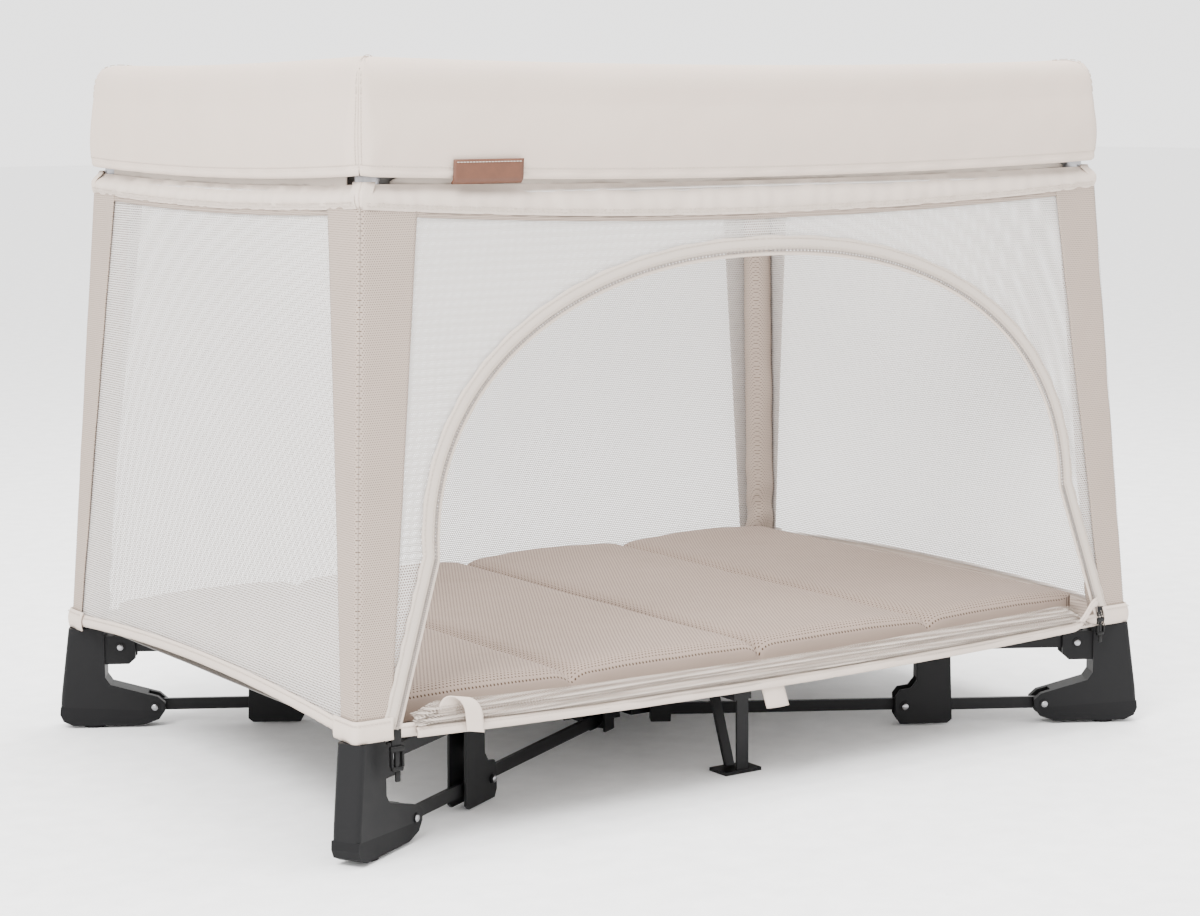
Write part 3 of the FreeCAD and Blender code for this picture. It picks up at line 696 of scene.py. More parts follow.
@dataclass
class MeshWalls:
    """The four see-through walls with their bands, bindings and corner sleeves."""

    door: Doorway
    band_low: float = 0.654
    band_high: float = 0.677
    band_drop: float = 0.007
    bind_low: float = 0.126
    bind_high: float = 0.138
    bind_tall: float = 0.0135
    zip_tall: float = 0.032
    # Height and height span of the dark strip of painted shade behind the gap above the band.
    shade_strip_low: float = 0.664
    shade_strip_tall: float = 0.040
    sag_top: dict = field(default_factory=lambda: {True: 0.020, False: 0.010})
    sag_low: dict = field(default_factory=lambda: {True: 0.010, False: -0.016})

    def low_edge(self, side: Side, along: float) -> float:
        """Height of a wall's lower edge."""
        return self.bind_high - self.sag_low[side.is_long] * PLAN.sag(side, along)

    def wall(self, side: Side) -> None:
        """A see-through wall, with the doorway left open in the front one."""
        top = self.band_low + 0.012
        length = 2 * PLAN.reach(side, PLAN.base_z)

        def plain(u: float, v: float) -> Vector:
            """A whole wall, a little slack."""
            rough = PLAN.reach(side, PLAN.base_z) * (2 * u - 1)
            low = self.low_edge(side, rough)
            height = low + (top - low) * v
            along = (PLAN.reach(side, height) - 0.004) * (2 * u - 1)
            place = PLAN.point(side, along, height)
            return place + side.out * (0.0016 * ripple(place, 0.16, 3.0) * math.sin(math.pi * v))

        def pierced(u: float, v: float) -> Vector:
            """The front wall, from the arch out to its edges."""
            inner_along, inner_height = self.door.outline(u, 0.004)
            if u < 0.3:
                part = u / 0.3
                height = PLAN.door_foot + (top - PLAN.door_foot) * part
                outer = (-(PLAN.reach(side, height) - 0.004), height)
            elif u > 0.7:
                part = (1 - u) / 0.3
                height = PLAN.door_foot + (top - PLAN.door_foot) * part
                outer = (PLAN.reach(side, height) - 0.004, height)
            else:
                part = (u - 0.3) / 0.4
                outer = ((PLAN.reach(side, top) - 0.004) * (2 * part - 1), top)
            along = inner_along + (outer[0] - inner_along) * v
            height = inner_height + (outer[1] - inner_height) * v
            place = PLAN.point(side, along, height)
            return place + side.out * (0.0012 * ripple(place, 0.14, 5.0) * math.sin(math.pi * v))

        has_door = side is self.door.side
        piece = cloth(
            f"mesh_wall_{side.label}", pierced if has_door else plain, 120 if has_door else 60,
            24 if has_door else 40, WALL_MESH,
        )
        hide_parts("mesh_enclosure")
        hold(piece, side, length)

    def band(self, side: Side) -> None:
        """The puckered cream band that hangs under the cover."""
        length = 2 * PLAN.reach(side, self.band_low)
        drop = self.sag_top[side.is_long]

        def low(along: float) -> float:
            """Height of the band's lower edge."""
            return self.band_low - drop * PLAN.sag(side, along)

        def surface(u: float, v: float) -> Vector:
            """The band, drawn in along its seams."""
            along = (length / 2 - 0.001) * (2 * u - 1)
            bottom = low(along)
            high = self.band_high - self.band_drop * PLAN.sag(side, along)
            height = bottom + (high - bottom) * v
            along *= PLAN.reach(side, height) / PLAN.reach(side, self.band_low)
            place = PLAN.point(side, along, height)
            pucker = math.sin(along / 0.0042 + 3 * ripple(place, 0.05, 1.0))
            slack = 0.0020 * ripple(place, 0.035, 8.0)
            swell = 0.0026 * math.sin(math.pi * min(1.0, v * 1.15))
            lean = -0.007 * smooth_step(0.55, 1.0, v)
            return place + side.out * (0.0026 + swell + slack + 0.0006 * pucker + lean)

        piece = cloth(f"band_{side.label}", surface, 260 if side.is_long else 180, 10, BINDING_CLOTH)
        hold(piece, side, length)
        for index, rise in enumerate((0.003, 0.0065)):
            def line(u: float, rise: float = rise) -> Vector:
                """A stitch line along the band's lower edge."""
                along = (length / 2 - 0.004) * (2 * u - 1)
                return PLAN.point(side, along, low(along) + rise, 0.0056)
            row = stitches(f"band_stitch_{side.label}_{index}", line, length, pitch=0.0055)
            hold(row, side, length)

        def zip_layer(u: float, v: float) -> Vector:
            """The tape above the band, which narrows away toward the corners."""
            along = (length / 2 - 0.040) * (2 * u - 1)
            full = 0.08 + 0.92 * smooth_step(0.16, 0.42, PLAN.sag(side, along))
            base = self.band_high - self.band_drop * PLAN.sag(side, along) - 0.010
            height = base + 0.001 + self.zip_tall * full * v
            place = PLAN.point(side, along, height)
            return place + side.out * (-0.006 - 0.006 * (1 - full) + 0.0012 * ripple(place, 0.03, 2.0))

        piece = cloth(f"zip_layer_{side.label}", zip_layer, 120, 5, TAPE_CLOTH, thick=0.001)
        hold(piece, side, length)

        def painted_shade_strip(u: float, v: float) -> Vector:
            """A dark strip set behind the gap above the band: painted shade for the shadow in the slit under
            the hem.
            """
            along = (length / 2 - 0.020) * (2 * u - 1)
            height = self.shade_strip_low + self.shade_strip_tall * v - 0.010 * PLAN.sag(side, along)
            return PLAN.point(side, along, height, -0.0165)

        # Painted shade: a dark cloth strip where the slit under the hem holds only shadow.
        piece = cloth(f"hem_shade_strip_{side.label}", painted_shade_strip, 60, 4, BASE_CLOTH, thick=0.001)
        hold(piece, side, length)

        def strip(u: float, v: float) -> Vector:
            """The thin beige strip under the band."""
            along = (length / 2 - 0.002) * (2 * u - 1)
            height = low(along) - 0.0055 + 0.006 * v
            return PLAN.point(side, along, height, 0.0018)

        piece = cloth(f"band_edge_{side.label}", strip, 80, 1, SLEEVE_CLOTH, thick=0.001)
        hold(piece, side, length)

    def binding(self, side: Side) -> None:
        """The cream binding along a wall's lower edge."""
        length = 2 * PLAN.reach(side, self.bind_low)

        def surface(u: float, v: float) -> Vector:
            """A rolled strip, fullest in its middle."""
            along = (length / 2 - 0.002) * (2 * u - 1)
            top = self.low_edge(side, along) + 0.002
            height = top - self.bind_tall * (1 - v)
            place = PLAN.point(side, along, height)
            crown = 0.002 * math.sin(math.pi * v) + 0.0005 * ripple(place, 0.02, 4.0)
            return place + side.out * (0.0016 + crown)

        piece = cloth(f"binding_{side.label}", surface, 160, 5, BINDING_CLOTH, thick=0.0016)
        hold(piece, side, length)

        def line(u: float) -> Vector:
            """The stitch line along the binding's upper edge."""
            along = (length / 2 - 0.006) * (2 * u - 1)
            return PLAN.point(side, along, self.low_edge(side, along) - 0.001, 0.0046)

        hold(stitches(f"binding_stitch_{side.label}", line, length), side, length)

    def floor_edge(self, side: Side) -> None:
        """The cloth that joins a wall's foot to the floor beside the mattress."""
        length = 2 * PLAN.reach(side, self.bind_low)

        def surface(u: float, v: float) -> Vector:
            """A strip that slopes in under the mattress."""
            inset = 0.004 + 0.052 * v
            along = (length / 2 - inset) * (2 * u - 1)
            start = self.low_edge(side, along) - 0.004
            height = start + (self.bind_low + 0.0015 - start) * smooth_step(0.0, 0.6, v)
            place = PLAN.point(side, along, self.bind_low)
            return Vector((place.x, place.y, height)) - side.out * inset

        piece = cloth(f"floor_edge_{side.label}", surface, 80, 8, SLEEVE_CLOTH, thick=0.0008)
        hold(piece, side, length)

    def build(self) -> None:
        """Make all four sides."""
        for side in Side:
            self.wall(side)
            self.floor_edge(side)
            self.band(side)
            self.binding(side)


@dataclass
class CornerCloth:
    """The beige sleeves round a corner: one over the wall's edge and one round the post."""

    low: float = 0.140
    high: float = 0.658
    width_low: float = 0.040
    width_high: float = 0.066
    corner_round: float = 0.007
    sleeve_radius: float = 0.0205
    post_low: float = 0.128
    post_high: float = 0.654
    binding_low: float = 0.1245
    binding_tall: float = 0.0225
    binding_width: float = 0.044
    band_low: float = 0.6525
    band_tall: float = 0.0255
    band_width: float = 0.016

    def skin(self, sign_x: int, sign_y: int, share: float, height: float, width: float, off: float) -> Vector:
        """A point round a corner.

        Args:
            sign_x: 1 for the right, -1 for the left.
            sign_y: 1 for the back, -1 for the front.
            share: -1 at the edge on the side wall, 1 at the edge on the front or back wall.
            height: Metres above the floor.
            width: How far the sleeve reaches along each wall.
            off: Metres outward.

        Returns:
            The point in the frame.
        """
        edge_x = PLAN.wall(Side.RIGHT, height) + off
        edge_y = PLAN.wall(Side.BACK, height) + off
        radius = self.corner_round
        arc = radius * math.pi / 2
        run = width - radius
        walked = abs(share) * (run + arc / 2)
        if walked <= arc / 2:
            angle = math.pi / 4 + math.copysign(walked / radius, share)
            across = edge_x - radius + radius * math.cos(angle)
            deep = edge_y - radius + radius * math.sin(angle)
        elif share > 0:
            across, deep = edge_x - radius - (walked - arc / 2), edge_y
        else:
            across, deep = edge_x, edge_y - radius - (walked - arc / 2)
        return Vector((sign_x * across, sign_y * deep, height))

    def sleeve(self, name: str, sign_x: int, sign_y: int) -> None:
        """The woven sleeve over a corner of the walls, with its dark corner seam."""

        def surface(u: float, v: float) -> Vector:
            """The sleeve, wider toward the top."""
            height = self.low + (self.high - self.low) * v
            width = self.width_low + (self.width_high - self.width_low) * v
            share = (2 * u - 1) * (0.76 + 0.24 * v if u < 0.5 else 1.0)
            place = self.skin(sign_x, sign_y, share, height, width, 0.0024)
            outward = Vector((sign_x, sign_y, 0)).normalized()
            return place + outward * (0.0008 * ripple(place, 0.05, 2.0))

        piece = cloth(f"sleeve_{name}", surface, 36, 60, SLEEVE_CLOTH, thick=0.001)
        ride(piece, f"corner_{name}")

        def line(u: float) -> Vector:
            """The stitch line down the corner."""
            height = self.low + (self.high - self.low) * u
            return self.skin(sign_x, sign_y, 0.01, height, 0.05, 0.0031)

        tall = self.high - self.low
        row = stitches(f"sleeve_seam_{name}", line, tall, DARK_THREAD, pitch=0.0034, gauge=0.0006)
        ride(row, f"corner_{name}")

    def post_sleeve(self, name: str, sign_x: int, sign_y: int) -> None:
        """The padded sleeve round a post, wrinkled at its foot."""
        post_low, post_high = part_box("corner_post_back_right")
        bottom = Vector((post_high.x - POST_RADIUS, post_high.y - POST_RADIUS, post_low.z))
        top = Vector((post_low.x + POST_RADIUS, post_low.y + POST_RADIUS, post_high.z))

        def surface(u: float, v: float) -> Vector:
            """The sleeve's skin."""
            height = self.post_low + (self.post_high - self.post_low) * v
            share = (height - bottom.z) / (top.z - bottom.z)
            middle = bottom.lerp(top, share)
            angle = 2 * math.pi * u
            foot = 1 - smooth_step(0.0, 0.30, v)
            wrinkle = 0.0016 * foot * math.sin(height / 0.0075 + 2.2 * math.sin(angle))
            size = self.sleeve_radius + wrinkle - 0.002
            place = Vector((middle.x + size * math.cos(angle), middle.y + size * math.sin(angle), height))
            place += Vector((math.cos(angle), math.sin(angle), 0)) * (0.0012 * ripple(place, 0.04, 6.0))
            wall_x = PLAN.wall(Side.RIGHT, height) - 0.0015
            wall_y = PLAN.wall(Side.BACK, height) - 0.0015
            return Vector((sign_x * min(place.x, wall_x), sign_y * min(place.y, wall_y), place.z))

        piece = tube(f"post_sleeve_{name}", lambda u, v: surface(v, u), 90, 32, SLEEVE_CLOTH, thick=0.0008)
        ride(piece, f"corner_{name}")

    def foot_binding(self, name: str, sign_x: int, sign_y: int) -> None:
        """The deep cream binding that wraps a corner just above its foot."""

        def surface(u: float, v: float) -> Vector:
            """The binding, fullest in its middle."""
            height = self.binding_low + self.binding_tall * v
            crown = 0.0018 * math.sin(math.pi * v)
            return self.skin(sign_x, sign_y, 2 * u - 1, height, self.binding_width, 0.0046 + crown)

        piece = cloth(f"foot_binding_{name}", surface, 40, 6, BINDING_CLOTH, thick=0.0016)
        ride(piece, f"corner_{name}")
        line = stitches(
            f"foot_binding_stitch_{name}",
            lambda u: self.skin(sign_x, sign_y, 1.9 * u - 0.95, 0.1435, self.binding_width, 0.0072), 0.08,
        )
        ride(line, f"corner_{name}")

    def corner_band(self, name: str, sign_x: int, sign_y: int) -> None:
        """The cream band where two sides' bands meet under the cover."""

        def surface(u: float, v: float) -> Vector:
            """The band, with its crease at the corner."""
            height = self.band_low + self.band_tall * v
            share = 2 * u - 1
            lean = -0.004 * smooth_step(0.5, 1.0, v)
            crease = -0.0012 * (1 - smooth_step(0.0, 0.10, abs(share)))
            crown = 0.0026 * math.sin(math.pi * min(1.0, v * 1.15))
            off = 0.0026 + crown + lean + crease
            return self.skin(sign_x, sign_y, share, height, self.band_width, off)

        piece = cloth(f"corner_band_{name}", surface, 40, 8, BINDING_CLOTH, thick=0.0012)
        ride(piece, f"corner_{name}")

    def build(self) -> None:
        """Dress all four corners."""
        for name, sign_x, sign_y in CORNERS:
            self.corner_band(name, sign_x, sign_y)
            self.sleeve(name, sign_x, sign_y)
            self.post_sleeve(name, sign_x, sign_y)
            self.foot_binding(name, sign_x, sign_y)


@dataclass
class RailCover:
    """The tall padded cover over the rails, sewn together at its four corners."""

    reach: float = 0.030
    hem: float = 0.687
    top: float = 0.8005
    corner: float = 0.018
    bend_share: float = 0.92
    crest: float = 0.038
    hem_sag: dict = field(default_factory=lambda: {True: 0.011, False: 0.008})
    top_sag: dict = field(default_factory=lambda: {True: 0.008, False: 0.004})

    def section(self, share: float) -> tuple[float, float]:
        """The cover's outline over a rail.

        Args:
            share: 0 at the outer hem, 1 at the inner hem.

        Returns:
            Metres outward from the rail's axis and the height.
        """
        outer, inner = self.reach - 0.004, self.reach - 0.002
        shoulder = self.top - self.crest
        if share < 0.42:
            part = share / 0.42
            bulge = 0.0045 * math.sin(math.pi * min(1.0, part * 1.02))
            return self.reach - (self.reach - outer) * part + bulge, self.hem + (shoulder - self.hem) * part
        if share > 0.68:
            part = (1 - share) / 0.32
            bulge = 0.003 * math.sin(math.pi * part)
            height = self.hem + (shoulder - self.hem) * part
            return -(self.reach + (inner - self.reach) * part + bulge), height
        angle = math.pi * (share - 0.42) / 0.26
        cosine, sine = math.cos(angle), math.sin(angle)
        power = 2 / 2.5
        across = (outer - inner) / 2 + (outer + inner) / 2 * math.copysign(abs(cosine) ** power, cosine)
        return across, shoulder + self.crest * max(0.0, sine) ** power

    def plan(self, side: Side, share: float, offset: float) -> Vector:
        """A place on a side's ring at floor level.

        Args:
            side: The side.
            share: -1 at the left or near corner seam, 1 at the other.
            offset: Metres outward from the rail's axis.

        Returns:
            The place.
        """
        half, across = (PLAN.rail_x, PLAN.rail_y) if side.is_long else (PLAN.rail_y, PLAN.rail_x)
        flat = self.reach - self.corner
        straight = half + min(offset, flat)
        radius = max(0.0, offset - flat)
        walked = abs(share)
        sign = math.copysign(1.0, share)
        if walked <= self.bend_share:
            return side.run * (sign * straight * walked / self.bend_share) + side.out * (across + offset)
        angle = math.pi / 4 * (walked - self.bend_share) / (1 - self.bend_share)
        along = straight + radius * math.sin(angle)
        deep = across + offset - radius + radius * math.cos(angle)
        return side.run * (sign * along) + side.out * deep

    def outward(self, side: Side, share: float) -> Vector:
        """The way the cover's outer face looks."""
        walked = abs(share)
        angle = math.pi / 4 * max(0.0, (walked - self.bend_share) / (1 - self.bend_share))
        return side.out * math.cos(angle) + side.run * (math.copysign(1.0, share) * math.sin(angle))

    def skin(self, side: Side, share: float, rise: float) -> Vector:
        """The padded skin of a side, from two shares: -1 to 1 along and 0 to 1 over the rail."""
        offset, height = self.section(rise)
        level = max(0.0, 1 - share * share)
        high = smooth_step(self.hem, self.top, height)
        height -= level * (self.hem_sag[side.is_long] * (1 - high) + self.top_sag[side.is_long] * high)
        place = self.plan(side, share, offset) + UP * height
        walk = place.dot(side.run)
        face = 1.0 if rise < 0.46 else -1.0 if rise > 0.64 else 0.0
        slack = 0.0022 * ripple(place, 0.13, 1.0) + 0.0008 * ripple(place, 0.03, 9.0)
        near_seam = smooth_step(0.90, 0.99, abs(share))
        pull = 0.0011 * (1 - smooth_step(0.0, 0.07, rise)) * math.sin(walk / 0.011) * (1 - near_seam)
        pinch = 0.0016 * near_seam * (1 - smooth_step(0.30, 0.42, rise))
        drag = 0.0020 * near_seam * (1 - near_seam) * math.sin(height / 0.009)
        dent = 0.0010 * smooth_step(0.985, 1.0, abs(share)) if 0.42 < rise < 0.68 else 0.0
        move = face * (slack + pull + drag) - pinch
        return place + self.outward(side, share) * move - UP * dent

    def outer_line(self, side: Side, rise: float, lift: float) -> Callable[[float], Vector]:
        """A line along the outer face, raised by a little."""

        def line(u: float) -> Vector:
            """The line's place."""
            share = 1.994 * u - 0.997
            return self.skin(side, share, rise) + self.outward(side, share) * lift

        return line

    def side_piece(self, side: Side) -> None:
        """One side's length of cover with its hem roll and stitches."""
        half = PLAN.rail_x if side.is_long else PLAN.rail_y
        length = 2 * (half + self.reach)
        columns = 200 if side.is_long else 160
        piece = cloth(
            f"rail_cover_{side.label}", lambda u, v: self.skin(side, 2 * u - 1, v), columns, 50, COVER_CLOTH,
            thick=0.004,
        )
        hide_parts("rail_cover")
        hold(piece, side, length)
        row = stitches(f"hem_stitch_{side.label}", self.outer_line(side, 0.048, 0.0022), length)
        hold(row, side, length)
        edge = self.outer_line(side, 0.0, 0.0)

        def roll(u: float, v: float) -> Vector:
            """The rolled hem at the lower edge."""
            angle = 2 * math.pi * v
            out = self.outward(side, 1.994 * u - 0.997)
            return edge(u) + out * (0.0032 * math.cos(angle)) + UP * (0.0044 * math.sin(angle) + 0.002)

        hold(tube(f"hem_roll_{side.label}", roll, columns, 10, COVER_CLOTH), side, length)
        for end in (-1, 1):
            share = end * (1 - 0.0042 / (half + self.reach))

            def seam(u: float, share: float = share) -> Vector:
                """A stitch line beside the corner seam, up the face and over the top."""
                rise = 0.05 + 0.58 * u
                lift = UP if 0.47 < rise < 0.63 else self.outward(side, share)
                return self.skin(side, share * 0.994, rise) + lift * 0.0023

            row = stitches(f"corner_stitch_{side.label}_{'near' if end < 0 else 'far'}", seam, 0.15)
            hold(row, side, length)

    def build(self) -> None:
        """Make the whole cover."""
        for side in Side:
            self.side_piece(side)


@dataclass
class DoorFlap:
    """The open door's mesh, gathered along the foot of the doorway, with its binding and straps."""

    start: float = -0.466
    end: float = 0.478
    top: float = 0.160
    side: Side = Side.FRONT

    def low(self, along: float) -> float:
        """Height of the flap's lower edge."""
        return 0.1262 - 0.0105 * PLAN.sag(self.side, along)

    def build(self) -> None:
        """Make the flap, its binding, the strap loop and the tab."""
        span = self.end - self.start
        length = 2 * PLAN.door_half

        def surface(u: float, v: float) -> Vector:
            """Folds that run along the flap."""
            along = self.start + span * u
            low = self.low(along) + 0.003
            end_dip = 0.030 * smooth_step(0.93, 1.0, u) ** 2
            start_dip = 0.010 * (1 - smooth_step(0.0, 0.03, u))
            top = self.top - 0.013 * PLAN.sag(self.side, along) - end_dip - start_dip
            height = low + (top - low) * v
            place = PLAN.point(self.side, along, height)
            folds = 0.0030 * math.sin(v * 19 + 2.2 * ripple(place, 0.14, 3.0))
            small = 0.0009 * math.sin(v * 47 + 4.0 * ripple(place, 0.06, 1.0))
            bulge = 0.0075 * math.sin(math.pi * min(1.0, v + 0.15)) ** 0.7
            return place + self.side.out * (0.002 + bulge + folds + small)

        piece = cloth("door_flap_mesh", surface, 220, 36, FLAP_MESH)
        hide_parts("door_flap")
        hold(piece, self.side, length)

        def lining(u: float, v: float) -> Vector:
            """The inner layers of the gathered mesh."""
            place = surface(u, 0.06 + 0.86 * v)
            return place - self.side.out * (0.0035 + 0.001 * math.sin(v * 20))

        piece = cloth("door_flap_lining", lining, 160, 16, FLAP_MESH)
        hold(piece, self.side, length)

        def hem(u: float, v: float) -> Vector:
            """The flap's cream binding, which turns up in a round corner at the right."""
            along = self.start + span * u
            rise = 0.026 * smooth_step(0.955, 1.0, u) ** 1.4
            low = self.low(along) + rise
            height = low + 0.0100 * v
            crown = 0.002 * math.sin(math.pi * v)
            place = PLAN.point(self.side, along, height)
            return place + self.side.out * (0.0085 + crown + 0.0008 * ripple(place, 0.03, 7.0))

        piece = cloth("door_flap_binding", hem, 180, 5, BINDING_CLOTH, thick=0.0014)
        hold(piece, self.side, length)
        row = stitches("door_flap_stitch", lambda u: hem(u, 0.8) + self.side.out * 0.001, span)
        hold(row, self.side, length)
        self.strap_loop(length)
        self.tab(length)

    def strap_loop(self, length: float) -> None:
        """A cream strap bent over the left end of the gathered flap."""
        width = 0.020

        def surface(u: float, v: float) -> Vector:
            """The strap, up from behind on the left, over the top and down the front."""
            angle = math.pi * min(1.0, v * 1.35)
            along = -0.428 + 0.011 * (1 - math.cos(angle)) + (u - 0.5) * width + 0.004 * v
            fall = smooth_step(0.74, 1.0, v)
            height = 0.140 + 0.018 * math.sin(angle) - 0.018 * fall - 0.004 * (u - 0.5)
            off = 0.004 + 0.012 * smooth_step(0.15, 0.7, v)
            return PLAN.point(self.side, along, height, off)

        piece = cloth("strap_loop", surface, 8, 30, BINDING_CLOTH, thick=0.0014)
        hold(piece, self.side, length)

    def tab(self, length: float) -> None:
        """The small cloth tab that hangs under the flap."""

        def surface(u: float, v: float) -> Vector:
            """A short folded tab, turned a little."""
            along = -0.030 + 0.030 * u + 0.008 * (1 - v)
            height = 0.092 + 0.030 * v
            return PLAN.point(self.side, along, height, 0.004 + 0.002 * math.sin(math.pi * u))

        piece = cloth("pull_tab", surface, 8, 8, BINDING_CLOTH, thick=0.0022)
        hold(piece, self.side, length)


@dataclass
class Mattress:
    """The flat mattress: four quilted panels with sunk seams between them."""

    corner: float = 0.040
    seam_depth: float = 0.013
    seam_reach: float = 0.024
    rim_reach: float = 0.020
    panels: int = 4

    def outline(self) -> tuple[float, float, float, float]:
        """Half the pad's length and width, its underside and its thickness."""
        low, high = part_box("mattress")
        return high.x + 0.004, high.y - 0.001, low.z, high.z - low.z

    def top(self, x: float, y: float) -> float:
        """Height of the pad's upper face."""
        half_x, half_y, low, thick = self.outline()
        width = 2 * half_x / self.panels
        part = (x + half_x) / width
        nearest = round(part)
        is_seam = 0 < nearest < self.panels
        gap = abs(part - nearest) * width if is_seam else 1.0
        share = min(1.0, gap / self.seam_reach)
        sunk = self.seam_depth * (1 - math.sqrt(max(0.0, 1 - (1 - share) ** 2)))
        edge = max(0.0, min(half_x - abs(x), half_y - abs(y)))
        rim_share = min(1.0, edge / self.rim_reach)
        rim = 0.009 * (1 - math.sqrt(max(0.0, 1 - (1 - rim_share) ** 2)))
        place = Vector((x, y, 0))
        lump = 0.0014 * ripple(place, 0.11, 2.0) + 0.0006 * ripple(place, 0.035, 5.0)
        middle = math.sin(math.pi * (part - math.floor(part)))
        curl = 0.0045 * (1 - smooth_step(0.0, 0.11, half_y - abs(y))) * middle
        crown = 0.002 * middle
        return low + thick - 0.001 - sunk - rim + lump + curl * rim_share + crown

    def pad(self) -> None:
        """The pad itself, as a closed form."""
        half_x, half_y, low, _ = self.outline()
        mesh = bmesh.new()
        bmesh.ops.create_grid(mesh, x_segments=230, y_segments=118, size=0.5)
        for vert in mesh.verts:
            x = vert.co.x * 2 * half_x
            y = vert.co.y * 2 * half_y
            corner_x = max(0.0, abs(x) - (half_x - self.corner))
            corner_y = max(0.0, abs(y) - (half_y - self.corner))
            reach, away = max(corner_x, corner_y), math.hypot(corner_x, corner_y)
            if away > 0:
                x -= math.copysign(corner_x * (1 - reach / away), x)
                y -= math.copysign(corner_y * (1 - reach / away), y)
            vert.co = Vector((x, y, low - 0.001))
        made = bmesh.ops.extrude_face_region(mesh, geom=list(mesh.faces))
        for vert in (item for item in made["geom"] if isinstance(item, bmesh.types.BMVert)):
            vert.co.z = self.top(vert.co.x, vert.co.y)
        bmesh.ops.recalc_face_normals(mesh, faces=mesh.faces)
        piece = finished("mattress_pad", mesh, MATTRESS_CLOTH)
        piece.data.set_sharp_from_angle(angle=math.radians(65))
        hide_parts("mattress")
        self.gather(piece)

    def gather(self, piece: bpy.types.Object) -> None:
        """Make a piece ride on the mattress."""
        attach(piece, "mattress")
        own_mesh(piece)
        wear(piece)

    def base(self) -> None:
        """The dark base cloth under the pad."""
        half_x, half_y, low, _ = self.outline()

        def surface(u: float, v: float) -> Vector:
            """A nearly flat sheet."""
            place = Vector(((half_x + 0.012) * (2 * u - 1), (half_y + 0.008) * (2 * v - 1), low - 0.0038))
            return place + UP * (0.0006 * ripple(place, 0.08, 1.0))

        piece = cloth("base_cloth", surface, 60, 40, BASE_CLOTH, thick=0.001)
        self.gather(piece)

    def build(self) -> None:
        """Make the pad and the base cloth under it."""
        self.pad()
        self.base()


@dataclass
class Trim:
    """The blank leather tab over the hem and the clips at the doorway's feet."""

    middle: float = -0.356
    width: float = 0.082
    low: float = 0.6748
    high: float = 0.6990

    def leather_tab(self) -> None:
        """A blank leather tab sewn over the front hem."""
        side = Side.FRONT
        middle, width, low, high = self.middle, self.width, self.low, self.high

        def surface(u: float, v: float) -> Vector:
            """The tab, lying on the hem and bent under it."""
            along = middle + width * (u - 0.5) + 0.0025 * (v - 0.5)
            height = low + (high - low) * v
            off = 0.0385 - 0.004 * (1 - smooth_step(0.0, 0.16, v)) - 0.002 * v
            return side.run * along + side.out * (PLAN.rail_y + off) + UP * height

        span = 2 * (PLAN.rail_x + 0.03)
        piece = cloth("leather_tab", surface, 20, 12, LEATHER, thick=0.0022)
        hold(piece, side, span)
        row = stitches(
            "leather_tab_stitch", lambda u: surface(0.03 + 0.94 * u, 0.88) + side.out * 0.0014, width * 0.94,
            pitch=0.0036,
        )
        hold(row, side, span)

    def clip(self, node: str, corner: str, scale: float) -> None:
        """A black side-release clip on a short strap.

        Args:
            node: The frame's clip, which this one replaces.
            corner: The corner body it hangs from.
            scale: Its size beside the larger clip's.
        """
        low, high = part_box(node)
        middle = (low + high) / 2
        mesh = bmesh.new()
        blocks = (
            ((0.0, 0.0, 0.019), (0.011, 0.0025, 0.018), 0.0006),
            ((0.0, -0.0005, 0.008), (0.0155, 0.0065, 0.006), 0.0015),
            ((-0.0062, -0.0005, -0.002), (0.0026, 0.0060, 0.018), 0.0011),
            ((0.0062, -0.0005, -0.002), (0.0026, 0.0060, 0.018), 0.0011),
            ((0.0, 0.0, -0.003), (0.0050, 0.0045, 0.020), 0.0012),
            ((0.0, -0.0005, -0.0125), (0.0130, 0.0060, 0.005), 0.0014),
            ((0.001, 0.0, -0.0205), (0.0062, 0.0035, 0.012), 0.0015),
        )
        for centre, size, edge in blocks:
            made = bmesh.ops.create_cube(mesh, size=1.0)
            place = Matrix.Translation(middle + Vector(centre) * scale)
            bmesh.ops.transform(
                mesh, matrix=place @ Matrix.Diagonal((*(part * scale for part in size), 1.0)),
                verts=made["verts"],
            )
            edges = list({link for vert in made["verts"] for link in vert.link_edges})
            bmesh.ops.bevel(
                mesh, geom=edges, offset=edge * scale, segments=2, profile=0.5, affect="EDGES", material=-1
            )
        piece = finished(f"{node}_buckle", mesh, BLACK_CLIP)
        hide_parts(node)
        ride(piece, corner)

    def build(self) -> None:
        """Make the trim."""
        self.leather_tab()
        self.clip("zip_clip_left", "corner_front_left", 1.0)
        self.clip("zip_clip_right", "corner_front_right", 0.82)


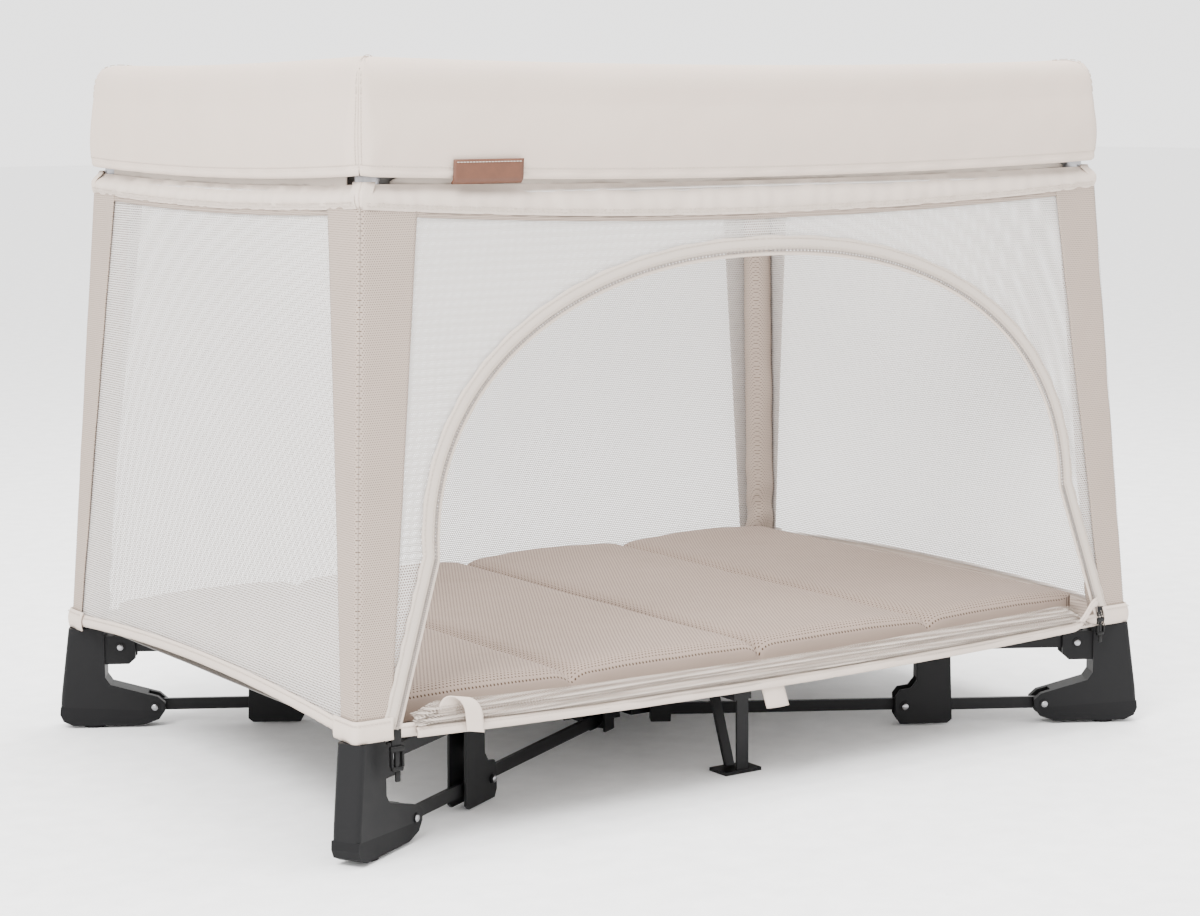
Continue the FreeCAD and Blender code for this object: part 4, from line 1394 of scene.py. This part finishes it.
@dataclass
class BoltWork:
    """Domed steel heads over the pivots of the feet and the inner legs."""

    radius: float = 0.0043
    foot_low: float = 0.0168
    foot_high: float = 0.0138
    leg: float = 0.0155
    lever: float = 0.040
    low_height: float = 0.025

    def heads(self, name: str, body: str, places: list[tuple[Vector, float]], axis: Vector) -> None:
        """Two heads at each pivot.

        Args:
            name: The piece's name.
            body: The body it rides on.
            places: Each pivot's middle, with the distance out to its heads.
            axis: The pivots' axis.
        """
        mesh = bmesh.new()
        turn = UP.rotation_difference(axis).to_matrix().to_4x4()
        for place, reach in places:
            for end in (-1, 1):
                made = bmesh.ops.create_uvsphere(mesh, u_segments=20, v_segments=10, radius=self.radius)
                flat = Matrix.Diagonal((1, 1, 0.42, 1))
                spot = Matrix.Translation(place + axis * (end * reach))
                bmesh.ops.transform(mesh, matrix=spot @ turn @ flat, verts=made["verts"])
        ride(finished(name, mesh, BRIGHT_STEEL), body)

    def build(self) -> None:
        """Make the heads of all four leg sets from the joints' own places."""
        joints = {joint["name"]: joint for joint in frame["joints"]}
        for name, _, _ in CORNERS:
            upper = Vector(joints[f"corner_turn_{name}"]["pos_m"])
            axis = Vector(joints[f"corner_turn_{name}"]["axis"]).normalized()
            leg_low = Vector(joints[f"outer_bar_turn_{name}"]["pos_m"])
            leg_high = Vector(joints[f"outer_tube_turn_{name}"]["pos_m"])
            along = (upper - leg_high).normalized()
            lower = upper - along * self.lever
            lower.z = self.low_height
            feet = [(lower, self.foot_low), (upper, self.foot_high)]
            self.heads(f"foot_bolts_{name}", f"corner_{name}", feet, axis)
            self.heads(f"leg_bolts_{name}", f"inner_leg_{name}", [(leg_low, self.leg)], axis)


EDGES = (
    ("foot_sole", 0.007), (("foot_", "inner_leg"), 0.004), ("rail_corner", 0.006),
    (("side_leg", "hub_body"), 0.0012),
)


@dataclass
class FrameDress:
    """Finishes for the hard parts that the frame already shapes."""

    def build(self) -> None:
        """Give every frame node its finish."""
        for name, item in frame["nodes"].items():
            finish = self.finish_for(name)
            item.data.materials.clear()
            item.data.materials.append(FINISHES.get(finish))
            width = self.edge_for(name)
            if width:
                edge = item.modifiers.new("edges", "BEVEL")
                edge.width = width
                edge.segments = 3
                edge.limit_method = "ANGLE"
                edge.angle_limit = math.radians(32)

    def edge_for(self, name: str) -> float:
        """How far a frame node's edges are rounded."""
        for starts, width in EDGES:
            if name.startswith(starts):
                return width
        return 0.0

    def finish_for(self, name: str) -> object:
        """The finish of a frame node, by what it is made of."""
        if name.startswith("foot_sole"):
            return SOLE_RUBBER
        moulded = ("foot", "inner_leg", "rail_corner", "hub", "release")
        if name.startswith(moulded) or name.endswith("latch"):
            return CHARCOAL
        if name.startswith(("outer", "inner", "side")):
            return DARK_STEEL
        if name.startswith("zip_clip"):
            return BLACK_CLIP
        return ALLOY


@dataclass
class Studio:
    """The pale floor, soft light and camera."""

    place: tuple = (-1.71724, -2.57281, 0.75175)
    azimuth: float = math.radians(33.8026)
    dip: float = math.radians(7.7979)
    roll: float = math.radians(-0.3633)
    lens: float = 77.284

    def camera(self) -> None:
        """Set the camera at the object's three-quarter view."""
        forward = Vector((
            math.sin(self.azimuth) * math.cos(self.dip),
            math.cos(self.azimuth) * math.cos(self.dip),
            -math.sin(self.dip),
        ))
        right = Vector((math.cos(self.azimuth), -math.sin(self.azimuth), 0.0))
        above = right.cross(forward)
        cosine, sine = math.cos(self.roll), math.sin(self.roll)
        x_axis = right * cosine + above * sine
        y_axis = above * cosine - right * sine
        data = bpy.data.cameras.new("camera")
        data.lens = self.lens
        data.sensor_width = 36.0
        item = bpy.data.objects.new("camera", data)
        bpy.context.scene.collection.objects.link(item)
        turn = Matrix((x_axis, y_axis, -forward)).transposed().to_4x4()
        item.matrix_world = Matrix.Translation(self.place) @ turn
        bpy.context.scene.camera = item

    def light(self, name: str, place: tuple, size: float, power: float) -> None:
        """A square soft light aimed at the playpen."""
        data = bpy.data.lights.new(name, "AREA")
        data.size = size
        data.energy = power
        item = bpy.data.objects.new(name, data)
        bpy.context.scene.collection.objects.link(item)
        item.location = place
        item.rotation_euler = (Vector((0, 0, 0.4)) - Vector(place)).to_track_quat("-Z", "Y").to_euler()

    def build(self) -> None:
        """Make the floor, the lights, the sky and the camera."""
        mesh = bmesh.new()
        bmesh.ops.create_grid(mesh, x_segments=1, y_segments=1, size=30.0)
        floor = finished("floor", mesh, Moulding("floor", (0.90, 0.90, 0.90), roughness=0.9, depth=0.0))
        world = bpy.data.worlds.new("studio")
        world.use_nodes = True
        world.node_tree.nodes["Background"].inputs["Color"].default_value = (1.0, 0.995, 0.99, 1.0)
        world.node_tree.nodes["Background"].inputs["Strength"].default_value = 2.6
        bpy.context.scene.world = world
        self.light("key", (-2.6, -1.6, 3.0), 1.6, 260.0)
        self.light("overhead", (0.8, 0.2, 3.2), 1.8, 150.0)
        self.camera()


def main() -> None:
    """Build the playpen's looks in order."""
    logging.basicConfig(level=logging.INFO, format="%(message)s")
    door = Doorway()
    FrameDress().build()
    MeshWalls(door).build()
    CornerCloth().build()
    RailCover().build()
    door.build()
    DoorFlap().build()
    Mattress().build()
    Trim().build()
    BoltWork().build()
    Studio().build()


if __name__ == "__main__":
    main()
